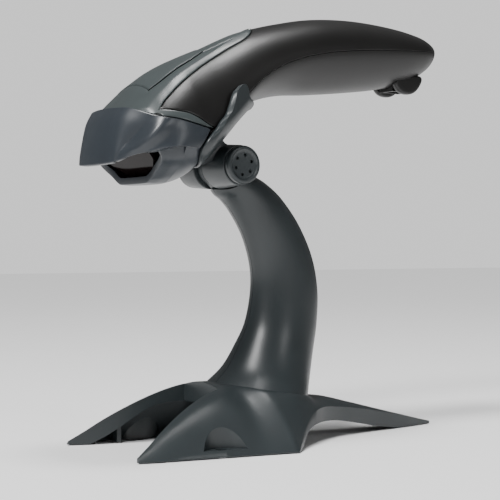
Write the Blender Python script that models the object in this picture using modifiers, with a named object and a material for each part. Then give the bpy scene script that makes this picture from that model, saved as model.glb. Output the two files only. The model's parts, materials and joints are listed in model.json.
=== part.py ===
"""Handheld barcode scanner resting in the cup of its hands-free stand.

Every shape below is drawn in millimetres from the arm's front foot: X across, Y from the nose to the tail,
Z up from the counter.  place() turns that into metres with the origin on the counter under the middle of the
object.  The scanner points to -Y.
"""
import math

import bmesh
import bpy
import numpy as np
from mathutils import Matrix, Vector

OBJECT_NAME = "barcode_scanner"
MM = 0.001

# ---------------------------------------------------------------- driving dimensions, millimetres
FRONT_Y = -61.0                      # foremost point of the visor
TAIL_Y = 109.0                       # rearmost point of the base's long toe
MIDDLE_Y = (FRONT_Y + TAIL_Y) / 2    # the origin is under this point
GAP = 0.35                           # between neighbouring pieces
PIVOT_Y, PIVOT_Z = -3.9, 112.2       # axis of the cup's hinge, along X
BARREL_RADIUS = 9.0
BARREL_END_X = 17.5
SLOT_HALF = 3.4                      # the arm's tongue stands in this slot of the barrel
WALL = 2.2                           # moulded walls

# scanner skin, stations from nose to tail: y, top, bottom, height of the widest line, half width
SKIN = (
    (-52.0, 133.5, 112.0, 121.0, 24.0),
    (-48.0, 137.6, 107.0, 121.0, 26.8),
    (-44.0, 141.7, 104.8, 121.0, 28.3),
    (-39.5, 145.2, 104.3, 121.0, 29.2),
    (-35.0, 148.5, 104.3, 121.3, 29.3),
    (-29.0, 151.9, 105.0, 122.3, 28.6),
    (-24.5, 154.0, 107.0, 123.6, 27.4),
    (-20.0, 156.0, 112.0, 126.0, 26.0),
    (-12.0, 159.4, 121.0, 131.5, 23.6),
    (-4.0, 163.2, 129.0, 138.5, 21.5),
    (4.0, 166.7, 135.6, 145.5, 19.9),
    (12.3, 169.3, 139.4, 151.0, 18.8),
    (24.0, 172.3, 142.4, 156.0, 17.9),
    (40.0, 175.5, 143.8, 160.0, 17.4),
    (60.0, 177.0, 145.9, 162.5, 17.2),
    (78.0, 176.3, 148.4, 163.8, 17.0),
    (92.0, 174.5, 151.6, 164.6, 16.0),
    (100.0, 172.4, 155.3, 165.0, 13.6),
    (104.3, 169.8, 159.0, 165.2, 9.4),
    (106.2, 167.0, 163.2, 165.3, 3.6),
)
SKIN_POWER = 1.85                    # of the section's superellipse

# top inlay: its half width along y, down to the rounded tip
INLAY_TIP_Y = 12.3
INLAY = ((-46.0, 23.3), (-40.0, 21.2), (-33.0, 18.6), (-20.0, 14.0), (-11.0, 11.3), (0.0, 9.6), (5.0, 8.6),
         (8.0, 6.9), (10.5, 4.3), (INLAY_TIP_Y, 0.0))
# button in the inlay, as rows of y and half width
BUTTON_ROWS = ((-43.0, 13.0), (-36.0, 12.6), (-28.0, 10.4), (-20.0, 8.0), (-13.5, 5.4))

# collar band: height of its upper edge (under the black housing) and lower edge (over the cheeks), along y
BAND_UPPER = ((-46.0, 131.9), (-38.0, 131.2), (-33.0, 130.4), (-29.0, 128.7), (-25.5, 126.9), (-22.5, 125.6))
BAND_LOWER = ((-46.0, 129.0), (-38.0, 128.0), (-33.0, 126.9), (-29.0, 126.1), (-25.5, 125.5), (-22.5, 125.0))

# visor and cheeks: columns from the middle of the front to the cheek's rear edge, each from top to bottom
VISOR = (
    ((0, -54.8, 133.2), (0, -57.6, 128.5), (0, -59.5, 121.5), (0, -60.6, 115.5), (0, -61.0, 111.0)),
    ((9, -54.2, 133.0), (8.7, -56.9, 128.2), (8.4, -58.8, 121.3), (8, -60.0, 115.4), (8, -60.4, 111.2)),
    ((16, -52.4, 132.3), (15.2, -55.3, 127.5), (14.4, -57.3, 121), (13.8, -58.6, 115.5),
     (13.4, -59.1, 111.6)),
    ((24, -47.4, 129.5), (21.5, -50.6, 125.3), (18.4, -53.9, 120.3), (15.9, -56.7, 115.9),
     (14.8, -58.0, 112.1)),
    ((27.9, -43.8, 128.4), (27.7, -46.9, 124.8), (26.3, -49.8, 120.8), (23.7, -52.1, 117.2),
     (21.1, -53.3, 114.3)),
    ((28.9, -38.2, 127.7), (29.0, -40.2, 124.5), (28.6, -42.7, 121.0), (27.9, -45.2, 118.2),
     (26.8, -47.7, 115.9)),
    ((29.0, -32.5, 126.5), (29.5, -34.2, 124.0), (29.8, -36.1, 121.4), (29.9, -38.0, 119.2),
     (29.9, -39.8, 117.6)),
    ((27.9, -24.2, 124.7), (28.6, -25.7, 122.6), (29.1, -27.2, 120.6), (29.3, -28.6, 118.8),
     (29.2, -29.8, 117.1)),
)
BEZEL_WALL = 1.9

# window frame (jaw): front rim and rear edge, from the middle of the bottom up to the cheek
JAW_FRONT = ((0, -42.8, 104.2), (9.0, -42.7, 104.3), (12.6, -42.6, 105.2), (17.0, -42.8, 107.8),
             (24.6, -43.8, 112.4),
             (26.0, -45.4, 114.4))
JAW_MIDDLE = ((0, -39.0, 104.0), (9.0, -39.0, 104.1), (13.2, -39.0, 105.2), (18.0, -39.0, 107.9),
              (25.6, -39.0, 113.0),
              (27.2, -39.5, 116.0))
JAW_REAR = ((0, -34.4, 104.2), (9.0, -34.4, 104.4), (13.6, -34.4, 105.8), (18.6, -34.4, 108.6),
            (25.4, -34.4, 113.2),
            (27.0, -34.4, 115.6))
JAW_WALL = 2.4
GLASS_OUTLINE = ((-9.4, 0.0), (9.4, 0.0), (17.6, 7.4), (18.4, 13.0), (-18.4, 13.0), (-17.6, 7.4))
GLASS_FOOT_Y, GLASS_FOOT_Z = -38.4, 107.9
GLASS_LEAN = 40.0                    # degrees, its top leans to the nose
GLASS_THICK = 1.2

# stand arm, stations from the foot: centre y, centre z, tilt in degrees, half depth, half width
ARM = (
    (15.75, 21.75, -9.8, 20.9, 22.0),
    (20.4, 28.0, -9.0, 19.0, 17.2),
    (24.4, 37.8, -5.0, 17.8, 13.6),
    (28.0, 48.4, -1.3, 16.7, 11.4),
    (29.6, 61.6, 0.0, 15.8, 10.2),
    (27.9, 74.0, 7.0, 14.7, 9.6),
    (22.6, 86.6, 11.0, 13.3, 9.3),
    (15.4, 96.6, 15.0, 12.0, 9.1),
    (9.5, 102.0, 20.0, 10.6, 9.1),
    (4.5, 105.0, 24.0, 9.5, 9.0),
    (1.0, 107.6, 24.0, 8.0, 8.6),
)
FOOT_SLOPE = math.tan(math.radians(9.77))    # the arm's foot plane falls towards the rear
FOOT_LEVEL = 24.45                           # height of the foot plane at y = 0
TONGUE_HALF = 2.5
TONGUE_RADIUS = 7.4

# base, stations: y, edge of the flat or notch, height at the middle, height there, half width,
# edge height, power
BASE = (
    (-56.5, 27.8, 2.0, 2.0, 29.6, 0.7, 1.6),
    (-50.0, 25.4, 5.9, 5.9, 31.3, 0.7, 1.6),
    (-43.8, 23.0, 9.9, 9.9, 32.3, 0.7, 1.7),
    (-32.3, 18.5, 16.2, 16.2, 34.1, 0.7, 1.8),
    (-21.1, 15.0, 21.0, 21.0, 35.9, 0.7, 1.8),
    (-11.7, 12.5, 25.4, 23.7, 37.3, 0.7, 1.7),
    (-4.0, 10.0, 24.8, 24.6, 38.5, 0.7, 1.5),
    (5.0, 19.2, 23.3, 23.2, 40.0, 0.7, 1.3),
    (8.5, 20.6, 22.7, 22.6, 40.5, 0.7, 1.3),
    (11.0, 21.3, 22.3, 22.2, 38.0, 2.1, 1.3),
    (15.0, 22.2, 21.6, 21.5, 34.0, 4.7, 1.3),
    (22.0, 21.2, 20.4, 20.3, 28.0, 9.4, 1.3),
    (30.0, 16.4, 19.0, 18.9, 22.0, 12.9, 1.4),
    (38.0, 6.0, 17.6, 17.5, 17.0, 13.8, 1.6),
    (48.0, 4.0, 16.6, 16.4, 13.0, 12.9, 1.8),
    (60.0, 3.0, 13.7, 13.6, 10.0, 11.3, 1.8),
    (72.0, 2.4, 10.7, 10.6, 7.5, 9.2, 1.8),
    (85.0, 1.8, 7.4, 7.3, 5.5, 6.6, 1.8),
    (97.0, 1.2, 4.4, 4.3, 3.5, 4.1, 1.8),
    (TAIL_Y, 0.4, 1.5, 1.5, 1.0, 1.4, 1.8),
)
BASE_RIM_Z = 0.4                      # the shell's rim clears the counter; the pads carry the stand
BASE_WALL = 2.4
NOTCH_WALL = 2.7
NOTCH_CLEARANCE = ((-8.4, 17.0), (-20.0, 16.3), (-26.0, 14.2), (-32.0, 10.7), (-37.0, 7.0), (-42.6, 3.3),
                   (-48.0, 0.5))
ARCH_CLEARANCE = ((9.5, 0.5), (15.0, 1.2), (18.0, 3.8), (22.0, 6.0), (30.0, 7.7), (38.0, 7.8), (48.0, 7.1),
                  (60.0, 5.0), (72.0, 2.6), (86.0, 0.5))
POCKET_X, POCKET_Y, POCKET_RADIUS, POCKET_FLOOR = 39.6, -22.3, 10.6, 3.0
COUNTER_SCREW_X = 32.0
PAD_HEIGHT = 1.2
PADS = {"foot_pad_toe_left": (-28.4, -47.0, 2.6), "foot_pad_toe_right": (28.4, -47.0, 2.6),
        "foot_pad_side_left": (-34.0, 2.5, 3.4), "foot_pad_side_right": (34.0, 2.5, 3.4),
        "foot_pad_tail": (0.0, 93.0, 2.2)}
BALLAST_BOTTOM, BALLAST_THICK = 7.0, 3.2
FOOT_SCREW_X, FOOT_SCREW_Y = 9.0, 15.75

COLOURS = {                           # base colour, roughness, metallic
    "black_plastic": ((0.020, 0.019, 0.018), 0.42, 0.0),
    "slate_plastic": ((0.060, 0.070, 0.078), 0.38, 0.0),
    "visor_plastic": ((0.075, 0.088, 0.102), 0.36, 0.0),
    "trim_plastic": ((0.150, 0.178, 0.178), 0.40, 0.0),
    "window_glass": ((0.010, 0.006, 0.006), 0.06, 0.0),
    "lens_plastic": ((0.55, 0.60, 0.62), 0.20, 0.0),
    "rubber": ((0.020, 0.020, 0.021), 0.85, 0.0),
    "steel": ((0.42, 0.43, 0.44), 0.32, 1.0),
    "circuit_board": ((0.020, 0.110, 0.050), 0.45, 0.0),
    "chip": ((0.018, 0.018, 0.020), 0.40, 0.0),
    "brass": ((0.55, 0.40, 0.15), 0.30, 1.0),
    "mirror": ((0.80, 0.82, 0.84), 0.05, 1.0),
}

# sizes inside the scanner, the cup and the base
HOUSING_FRONT_Y = -43.1
BAND_STATIONS = (-41.0, -37.0, -33.0, -29.0, -25.8, -23.0)
HANDLE_STATIONS = (-15.0, -7.0, 1.0, 7.0, 10.5, INLAY_TIP_Y + 0.4, 22.0, 36.0, 50.0, 64.0, 80.0, 92.0,
                   99.0, 103.0, 105.2, 106.2)
SEAM_ANGLE = 2.2                      # half of the gap between the black shells, at the widest line
BAND_GAP = 0.8
EAR_X, EAR_THICK = 5.6, 3.0
EAR_PROFILE = ((82.5, 150.6), (84.5, 148.2), (87.5, 146.6), (91.0, 146.3), (94.5, 147.4), (97.0, 149.8),
               (99.2, 153.6), (98.0, 156.0), (84.0, 153.0))
SOCKET_HALF = 4.6
SOCKET_Y = (84.5, 95.5)
BOARD_Z = 158.4
BOARD_Y = (14.0, 87.0)
BOARD_SCREW_Y = (24.0, 74.0)
BAND_COLUMNS = 2
EDGE_COLUMNS = 2
BUTTON_COLUMNS = 3
TRIM_WALL = 1.7
BUTTON_RAISE = 0.25
BUTTON_WALL = 1.6
PLUG_HALF = 3.2
MIRROR_X, MIRROR_Y = -5.0, -30.8
ENGINE_FLOOR = 117.0
CUP_CLEAR = 0.55
CUP_WALL = 2.5
LUG_END_X = 10.5
CUP_COLUMNS = (                       # angle below the widest line, or height above it; front y, rear y
    (8.2, -11.6, -8.6), (7.0, -12.7, -6.4), (4.6, -14.2, -4.9), (2.2, -16.3, -4.3),
    (0.0, -21.0, -3.8), (-10.0, -26.2, -2.6), (-20.0, -28.2, -0.8), (-32.0, -27.0, 1.4), (-46.0, -24.4, 4.2),
    (-60.0, -22.0, 6.8), (-75.0, -20.0, 9.6), (-90.0, -18.9, 10.9),
)


# ---------------------------------------------------------------- scene and material helpers
def clear_scene():
    for old in list(bpy.data.objects):
        bpy.data.objects.remove(old, do_unlink=True)


def new_collection(name):
    collection = bpy.data.collections.new(name)
    bpy.context.scene.collection.children.link(collection)
    return collection


def material(name):
    found = bpy.data.materials.get(name)
    if found:
        return found
    colour, roughness, metallic = COLOURS[name]
    made = bpy.data.materials.new(name)
    made.use_nodes = True
    shader = made.node_tree.nodes["Principled BSDF"]
    shader.inputs["Base Color"].default_value = (*colour, 1.0)
    shader.inputs["Roughness"].default_value = roughness
    shader.inputs["Metallic"].default_value = metallic
    made.diffuse_color = (*colour, 1.0)
    return made


def place(x, y, z):
    """A point in metres in the object's own frame."""
    return Vector((x, y - MIDDLE_Y, z)) * MM


def add_object(name, mesh, look=None):
    """Links a mesh as a part, or as a hidden cutter when it has no look."""
    made = bpy.data.objects.new(name, mesh)
    if look:
        PARTS.objects.link(made)
        mesh.materials.append(material(look))
        mesh.shade_smooth()
        mesh.set_sharp_from_angle(angle=math.radians(35))
    else:
        CUTTERS.objects.link(made)
        made.hide_render = True
        made.display_type = "WIRE"
    return made


def mesh_from(bm, name):
    """A new mesh from a bmesh, with its faces pointing out and no bent four-sided faces left."""
    mesh = bpy.data.meshes.new(name)
    bmesh.ops.recalc_face_normals(bm, faces=bm.faces)
    bent = [face for face in bm.faces if len(face.verts) == 4 and not flat(face)]
    bmesh.ops.triangulate(bm, faces=bent)
    bm.to_mesh(mesh)
    bm.free()
    return mesh


def flat(face):
    return all(abs(face.normal.dot(v.co - face.verts[0].co)) < 1e-8 for v in face.verts)


def boolean(target, tool, operation="DIFFERENCE"):
    step = target.modifiers.new(f"{operation.lower()} {tool.name}", "BOOLEAN")
    step.operation = operation
    step.solver = "EXACT"
    step.object = tool


def baked(target):
    """Applies an object's modifiers, so that it can be used in a later cut."""
    bpy.context.view_layer.update()
    evaluated = target.evaluated_get(bpy.context.evaluated_depsgraph_get())
    bm = bmesh.new()
    bm.from_mesh(evaluated.data)
    looks = list(target.data.materials)
    target.modifiers.clear()
    target.data = mesh_from(bm, target.name)
    for look in looks:
        target.data.materials.append(look)
    return target


# ---------------------------------------------------------------- shape helpers
def smooth(points):
    """A smooth function through (position, value) points: cubic pieces with limited slopes."""
    where = np.array([p[0] for p in points], float)
    value = np.array([p[1] for p in points], float)
    slope = np.diff(value) / np.diff(where)
    tangent = np.concatenate(([slope[0]], (slope[:-1] + slope[1:]) / 2, [slope[-1]]))
    for i, rise in enumerate(slope):
        limit = 3 * abs(rise)
        tangent[i] = np.clip(tangent[i], -limit, limit)
        tangent[i + 1] = np.clip(tangent[i + 1], -limit, limit)

    def at(position):
        position = float(np.clip(position, where[0], where[-1]))
        i = min(int(np.searchsorted(where, position, side="right")) - 1, len(slope) - 1)
        width = where[i + 1] - where[i]
        t = (position - where[i]) / width
        keep = value[i] * (1 + 2 * t) * (1 - t) ** 2 + value[i + 1] * t * t * (3 - 2 * t)
        return keep + width * (tangent[i] * t * (1 - t) ** 2 - tangent[i + 1] * t * t * (1 - t))
    return at


def column(table, index):
    """One column of a table of stations as a smooth function of its first column."""
    return smooth([(row[0], row[index]) for row in table])


def sheet(name, rows, look, thickness, holes=(), end_faces=(), inward=True):
    """An open surface through rows of points, mirrored in X and given a wall with Solidify.

    holes lists (row, column) cells left open; end_faces lists rows whose outline is filled to the
    middle plane.
    """
    bm = bmesh.new()
    grid = [[bm.verts.new(place(*point)) for point in row] for row in rows]
    for i in range(len(grid) - 1):
        for k in range(len(grid[i]) - 1):
            if (i, k) not in holes:
                bm.faces.new((grid[i][k], grid[i][k + 1], grid[i + 1][k + 1], grid[i + 1][k]))
    for i in end_faces:
        middle = bm.verts.new(Vector((0, grid[i][0].co.y, grid[i][0].co.z)))
        bm.faces.new([middle, *grid[i]] if i else [*reversed(grid[i]), middle])
    bmesh.ops.delete(bm, geom=[v for v in bm.verts if not v.link_faces], context="VERTS")
    made = add_object(name, mesh_from(bm, name), look)
    mirror = made.modifiers.new("mirror", "MIRROR")
    mirror.merge_threshold = 0.00005
    outward_side(made, inward)
    wall = made.modifiers.new("wall", "SOLIDIFY")
    wall.thickness = thickness * MM
    wall.offset = -1
    wall.use_even_offset = True
    return made


def slab(name, outer, inner, look, holes=()):
    """A wall between two like grids of points, drawn on one side up to the middle plane and mirrored in X."""
    count = len(outer[0])
    bm = bmesh.new()
    layers = []
    for rows in (outer, inner):
        whole = [[*row, *((-x, y, z) for x, y, z in reversed(row[:-1]))] for row in rows]
        layers.append([[bm.verts.new(place(*point)) for point in row] for row in whole])
    cells = {(i, k) for i in range(len(outer) - 1) for k in range(2 * count - 2)}
    cells -= {(i, j) for i, k in holes for j in (k, 2 * count - 3 - k)}
    for i, k in cells:
        for grid in layers:
            bm.faces.new((grid[i][k], grid[i][k + 1], grid[i + 1][k + 1], grid[i + 1][k]))
        edges = {(i - 1, k): ((i, k), (i, k + 1)), (i + 1, k): ((i + 1, k), (i + 1, k + 1)),
                 (i, k - 1): ((i, k), (i + 1, k)), (i, k + 1): ((i, k + 1), (i + 1, k + 1))}
        for beyond, (a, b) in edges.items():
            if beyond not in cells:
                top, bottom = layers
                bm.faces.new((top[a[0]][a[1]], top[b[0]][b[1]], bottom[b[0]][b[1]], bottom[a[0]][a[1]]))
    bmesh.ops.delete(bm, geom=[v for v in bm.verts if not v.link_faces], context="VERTS")
    bmesh.ops.recalc_face_normals(bm, faces=bm.faces)
    return add_object(name, mesh_from(bm, name), look)


def outward_side(made, inward):
    """Turns an open surface's faces away from the scanner's inside, so that its wall grows the wanted way."""
    mesh = made.data
    middle = sum((v.co for v in mesh.vertices), Vector()) / len(mesh.vertices)
    middle.x = 0
    total = sum((f.normal.dot(f.center - middle) * f.area for f in mesh.polygons))
    if (total > 0) != inward:
        mesh.flip_normals()


def loft(name, sections, look=None):
    """A closed solid through loops with the same number of points, its two ends filled."""
    bm = bmesh.new()
    loops = [[bm.verts.new(place(*point)) for point in section] for section in sections]
    for near, far in zip(loops, loops[1:]):
        for k in range(len(near)):
            after = (k + 1) % len(near)
            bm.faces.new((near[k], near[after], far[after], far[k]))
    bm.faces.new(list(reversed(loops[0])))
    bm.faces.new(loops[-1])
    return add_object(name, mesh_from(bm, name), look)


def rod(name, start, end, radius, look=None, end_radius=None, segments=20):
    """A cylinder or cone between two points."""
    start, end = place(*start), place(*end)
    bm = bmesh.new()
    bmesh.ops.create_cone(bm, cap_ends=True, segments=segments, radius1=radius * MM,
                          radius2=(radius if end_radius is None else end_radius) * MM,
                          depth=(end - start).length)
    made = add_object(name, mesh_from(bm, name), look)
    turn = (end - start).to_track_quat("Z", "Y").to_matrix().to_4x4()
    made.matrix_world = Matrix.Translation((start + end) / 2) @ turn
    return made


def box(name, low, high, look=None, bevel=0.0, turn=None):
    """A box between two corners, turned about its centre when asked."""
    low, high = place(*low), place(*high)
    bm = bmesh.new()
    bmesh.ops.create_cube(bm, size=1.0)
    bmesh.ops.scale(bm, vec=high - low, verts=bm.verts)
    made = add_object(name, mesh_from(bm, name), look)
    made.location = (low + high) / 2
    if turn:
        made.rotation_euler = turn
    if bevel:
        edge = made.modifiers.new("edges", "BEVEL")
        edge.width = bevel * MM
        edge.segments = 1
    return made


FACING = {                            # local axes of a flat outline drawn in the named plane
    "plan": Matrix.Identity(4),
    "side": Matrix(((0, 0, 1, 0), (1, 0, 0, 0), (0, 1, 0, 0), (0, 0, 0, 1))),
}


def plate(name, outline, facing, low, high, look=None):
    """A flat outline with a thickness: (x, y) points between two heights, or (y, z) points between two x."""
    curve = bpy.data.curves.new(name, "CURVE")
    curve.dimensions = "2D"
    curve.fill_mode = "BOTH"
    curve.extrude = (high - low) / 2 * MM
    spline = curve.splines.new("POLY")
    spline.points.add(len(outline) - 1)
    for point, (u, v) in zip(spline.points, outline):
        point.co = (u * MM, v * MM, 0, 1)
    spline.use_cyclic_u = True
    guide = bpy.data.objects.new(name + " outline", curve)
    CUTTERS.objects.link(guide)
    bpy.context.view_layer.update()
    mesh = bpy.data.meshes.new_from_object(guide.evaluated_get(bpy.context.evaluated_depsgraph_get()))
    bpy.data.objects.remove(guide, do_unlink=True)
    bm = bmesh.new()
    bm.from_mesh(mesh)
    bmesh.ops.remove_doubles(bm, verts=bm.verts, dist=0.000001)
    bpy.data.meshes.remove(mesh)
    made = add_object(name, mesh_from(bm, name), look)
    middle = (0, 0, (low + high) / 2) if facing == "plan" else ((low + high) / 2, 0, 0)
    made.matrix_world = Matrix.Translation(place(*middle)) @ FACING[facing]
    return made


def circle(centre_u, centre_v, radius, start=0.0, end=360.0, count=24):
    """Points along an arc; a full turn leaves out its last point."""
    steps = count if abs(end - start) >= 360 else count - 1
    angles = [math.radians(start + (end - start) * i / steps) for i in range(count)]
    return [(centre_u + radius * math.cos(a), centre_v + radius * math.sin(a)) for a in angles]


# ---------------------------------------------------------------- the scanner's skin
SKIN_TOP, SKIN_BOTTOM, SKIN_SIDE_Z, SKIN_HALF = (column(SKIN, i) for i in (1, 2, 3, 4))
INLAY_HALF = smooth(INLAY)
BAND_TOP, BAND_LOW = smooth(BAND_UPPER), smooth(BAND_LOWER)


def skin(y, angle, out=0.0):
    """Point of the skin at an angle from the widest line: 90 is the top, -90 the bottom."""
    side = SKIN_SIDE_Z(y)
    reach = (SKIN_TOP(y) - side if angle > 0 else side - SKIN_BOTTOM(y)) + out
    c, s = math.cos(math.radians(angle)), math.sin(math.radians(abs(angle)))
    x = (SKIN_HALF(y) + out) * max(c, 0.0) ** (2 / SKIN_POWER)
    return x, y, side + math.copysign(reach * s ** (2 / SKIN_POWER), angle)


def angle_at_half_width(y, half):
    """Angle on the upper skin where it is this far from the middle plane."""
    share = min(max(half / SKIN_HALF(y), 0.0), 1.0)
    return math.degrees(math.acos(share ** (SKIN_POWER / 2)))


def angle_at_height(y, z):
    """Angle on the upper skin at this height."""
    side = SKIN_SIDE_Z(y)
    share = min(max((z - side) / (SKIN_TOP(y) - side), 0.0), 1.0)
    return math.degrees(math.asin(share ** (SKIN_POWER / 2)))


def spread(low, high, count):
    return [low + (high - low) * i / (count - 1) for i in range(count)]


# ---------------------------------------------------------------- scanner: shells


def upper_housing():
    """Black top shell: two prongs beside the inlay, closed over the handle."""
    stations = (HOUSING_FRONT_Y, *BAND_STATIONS, *HANDLE_STATIONS)
    rows = []
    for y in stations:
        high = angle_at_half_width(y, INLAY_HALF(y) + BAND_GAP) if y < INLAY_TIP_Y else 90.0
        low = angle_at_height(y, BAND_TOP(y) + BAND_GAP) if y <= BAND_STATIONS[-1] else SEAM_ANGLE
        first = low + min(2.5, (high - low) / 4)
        rows.append([skin(y, a) for a in (low, *spread(first, high, 7))])
    return sheet("upper_housing", rows, "black_plastic", WALL, end_faces=(len(rows) - 1,))


def lower_housing():
    """Black bottom shell from the chin behind the window to the tail, with ears beside the cable socket."""
    stations = (-33.6, -29.0, -25.8, -23.0, *HANDLE_STATIONS)
    rows = []
    for y in stations:
        high = -26.0 if y < -24 else -SEAM_ANGLE
        rows.append([skin(y, a) for a in (high, *spread(high - 2.5, -90.0, 7))])
    shell = sheet("lower_housing", rows, "black_plastic", WALL, end_faces=(len(rows) - 1,))
    shell = baked(shell)
    for side in (-1, 1):
        ear = [(side * EAR_X, y, z) for y, z in EAR_PROFILE]
        outer = [(side * (EAR_X + EAR_THICK), y, z) for y, z in EAR_PROFILE]
        lobe = loft(f"ear {side}", [ear, outer])
        boolean(shell, lobe, "UNION")
    for y in BOARD_SCREW_Y:
        post = rod(f"board post {y}", (0, y, SKIN_BOTTOM(y) + 1.0), (0, y, BOARD_Z - GAP), 3.0, segments=12)
        boolean(shell, post, "UNION")
        pilot = rod(f"board pilot {y}", (0, y, BOARD_Z - 7.0), (0, y, BOARD_Z + 2.0), 1.5, segments=12)
        boolean(shell, pilot)
    mouth = box("socket mouth", (-SOCKET_HALF - GAP, SOCKET_Y[0] - GAP, 140),
                (SOCKET_HALF + GAP, SOCKET_Y[1] + GAP, 158))
    boolean(shell, mouth)
    return shell


def nose_bezel():
    """Visor with cheeks: the front face, its two corners and the flared sides."""
    rows = []
    for near, far in zip(VISOR, VISOR[1:]):
        rows.append(near)
        if near[0][0] >= 24:
            rows.append([tuple((a + b) / 2 for a, b in zip(p, q)) for p, q in zip(near, far)])
    rows.append(VISOR[-1])
    return sheet("nose_bezel", rows, "visor_plastic", BEZEL_WALL)


def window_frame():
    """Jaw below the visor; its front rim frames the exit window."""
    rows = [list(reversed(line)) for line in (JAW_FRONT, JAW_MIDDLE, JAW_REAR)]
    return sheet("window_frame", rows, "visor_plastic", JAW_WALL)


def scan_window():
    """Dark exit window, leaning over the jaw."""
    pane = plate("scan_window", GLASS_OUTLINE, "plan", 0, GLASS_THICK, "window_glass")
    lean = Matrix.Rotation(math.radians(90 + GLASS_LEAN), 4, "X")
    pane.matrix_world = Matrix.Translation(place(0, GLASS_FOOT_Y, GLASS_FOOT_Z)) @ lean
    return pane


def top_trim():
    """Lighter inlay with a collar band down each side, and the button's opening."""
    front = (-51.0, -48.6, -46.2, -44.2)
    button_ends = (BUTTON_ROWS[0][0], BUTTON_ROWS[-1][0])
    stations = sorted({*front, *BAND_STATIONS, *(row[0] for row in BUTTON_ROWS), -9.0, -2.0, 5.0, 9.0, 11.0})
    front_low = dict(zip(front, (133.9, 133.3, 131.5, 129.9)))
    rows, inner = [], []
    for y in stations:
        angles = trim_angles(y, front_low.get(y, BAND_LOW(y) + GAP * 2))
        rows.append([skin(y, a) for a in angles])
        inner.append([skin(y, a, -TRIM_WALL) for a in angles])
    holes = set()
    for i, (here, after) in enumerate(zip(stations, stations[1:])):
        if here >= front[-1]:
            holes.add((i, BAND_COLUMNS))
        if here >= BAND_STATIONS[-1]:
            holes |= {(i, k) for k in range(BAND_COLUMNS)}
        if button_ends[0] <= here and after <= button_ends[1]:
            holes |= {(i, len(rows[0]) - 1 - k) for k in range(1, BUTTON_COLUMNS + 1)}
    return slab("top_trim", rows, inner, "trim_plastic", holes)


def trim_angles(y, low):
    """Angles of a trim row: the band's columns, the inlay's rim and the button's width, up to the top."""
    edge = angle_at_half_width(y, INLAY_HALF(y) if y < 10.5 else 2.0)
    half = float(np.interp(y, [row[0] for row in BUTTON_ROWS], [row[1] for row in BUTTON_ROWS]))
    button = angle_at_half_width(y, min(half + GAP, INLAY_HALF(y) * 0.8))
    band_low = angle_at_height(y, low)
    band_high = max(angle_at_height(y, BAND_TOP(y)), band_low + 1.0)
    side = spread(band_low, min(band_high, edge - 1.0), BAND_COLUMNS + 1)
    return side + spread(edge, button, EDGE_COLUMNS + 1) + spread(button, 90.0, BUTTON_COLUMNS + 1)[1:]


def trigger_button():
    """Large button in the inlay; it travels into the head."""
    rows, inner = [], []
    for y, half in BUTTON_ROWS:
        end = {BUTTON_ROWS[0][0]: GAP * 1.6, BUTTON_ROWS[-1][0]: -GAP * 1.6}.get(y, 0.0)
        angles = spread(angle_at_half_width(y, half - GAP), 90.0, 5)
        rows.append([skin(y + end, a, BUTTON_RAISE) for a in angles])
        inner.append([skin(y + end, a, BUTTON_RAISE - BUTTON_WALL) for a in angles])
    return slab("trigger_button", rows, inner, "trim_plastic")


# ---------------------------------------------------------------- scanner: inside
def turned(name, profile, origin, direction, look, steps=20):
    """A turned solid from (radius, height) points, top centre to bottom centre down the outside."""
    bm = bmesh.new()
    points = [bm.verts.new((radius * MM, 0, height * MM)) for radius, height in profile]
    for a, b in zip(points, points[1:]):
        bm.edges.new((a, b))
    mesh = bpy.data.meshes.new(name)
    bm.to_mesh(mesh)
    bm.free()
    made = add_object(name, mesh, look)
    spin = made.modifiers.new("turn", "SCREW")
    spin.steps = spin.render_steps = steps
    spin.use_merge_vertices = True
    spin.merge_threshold = 0.00001
    turn = Vector(direction).to_track_quat("Z", "Y").to_matrix().to_4x4()
    made.matrix_world = Matrix.Translation(place(*origin)) @ turn
    return made


def screw(name, seat, outward, head_radius, head_height, shank_radius, length):
    """A screw whose head sits on a seat and whose shank runs away from it."""
    profile = ((0, head_height), (head_radius, head_height), (head_radius, 0), (shank_radius, 0),
               (shank_radius, -length), (0, -length))
    return turned(name, profile, seat, outward, "steel", steps=12)


def main_board():
    board = box("main_board", (-10, BOARD_Y[0], BOARD_Z), (10, BOARD_Y[1], BOARD_Z + 1.6), "circuit_board")
    for i, y in enumerate(BOARD_SCREW_Y):
        boolean(board, rod(f"board hole {i}", (0, y, BOARD_Z - 2), (0, y, BOARD_Z + 4), 1.7, segments=12))
        screw(("board_screw_front", "board_screw_rear")[i], (0, y, BOARD_Z + 1.6 + GAP), (0, 0, 1), 2.6,
              1.5, 1.2, 7.0)
    top = BOARD_Z + 1.6 + GAP
    box("processor_chip", (-5, 38, top), (5, 48, top + 1.4), "chip", bevel=0.2)
    box("memory_chip", (-4, 53, top), (4, 58.5, top + 1.1), "chip", bevel=0.2)
    rod("beeper", (0, 66, top), (0, 66, top + 4.2), 4.5, "chip")
    socket = box("cable_socket", (-SOCKET_HALF, SOCKET_Y[0], 147.9),
                 (SOCKET_HALF, SOCKET_Y[1], BOARD_Z - GAP),
                 "black_plastic")
    boolean(socket, box("plug way", (-PLUG_HALF, SOCKET_Y[0] + 1.6, 140),
                        (PLUG_HALF, SOCKET_Y[1] - 1.6, 155.5)))


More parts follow.
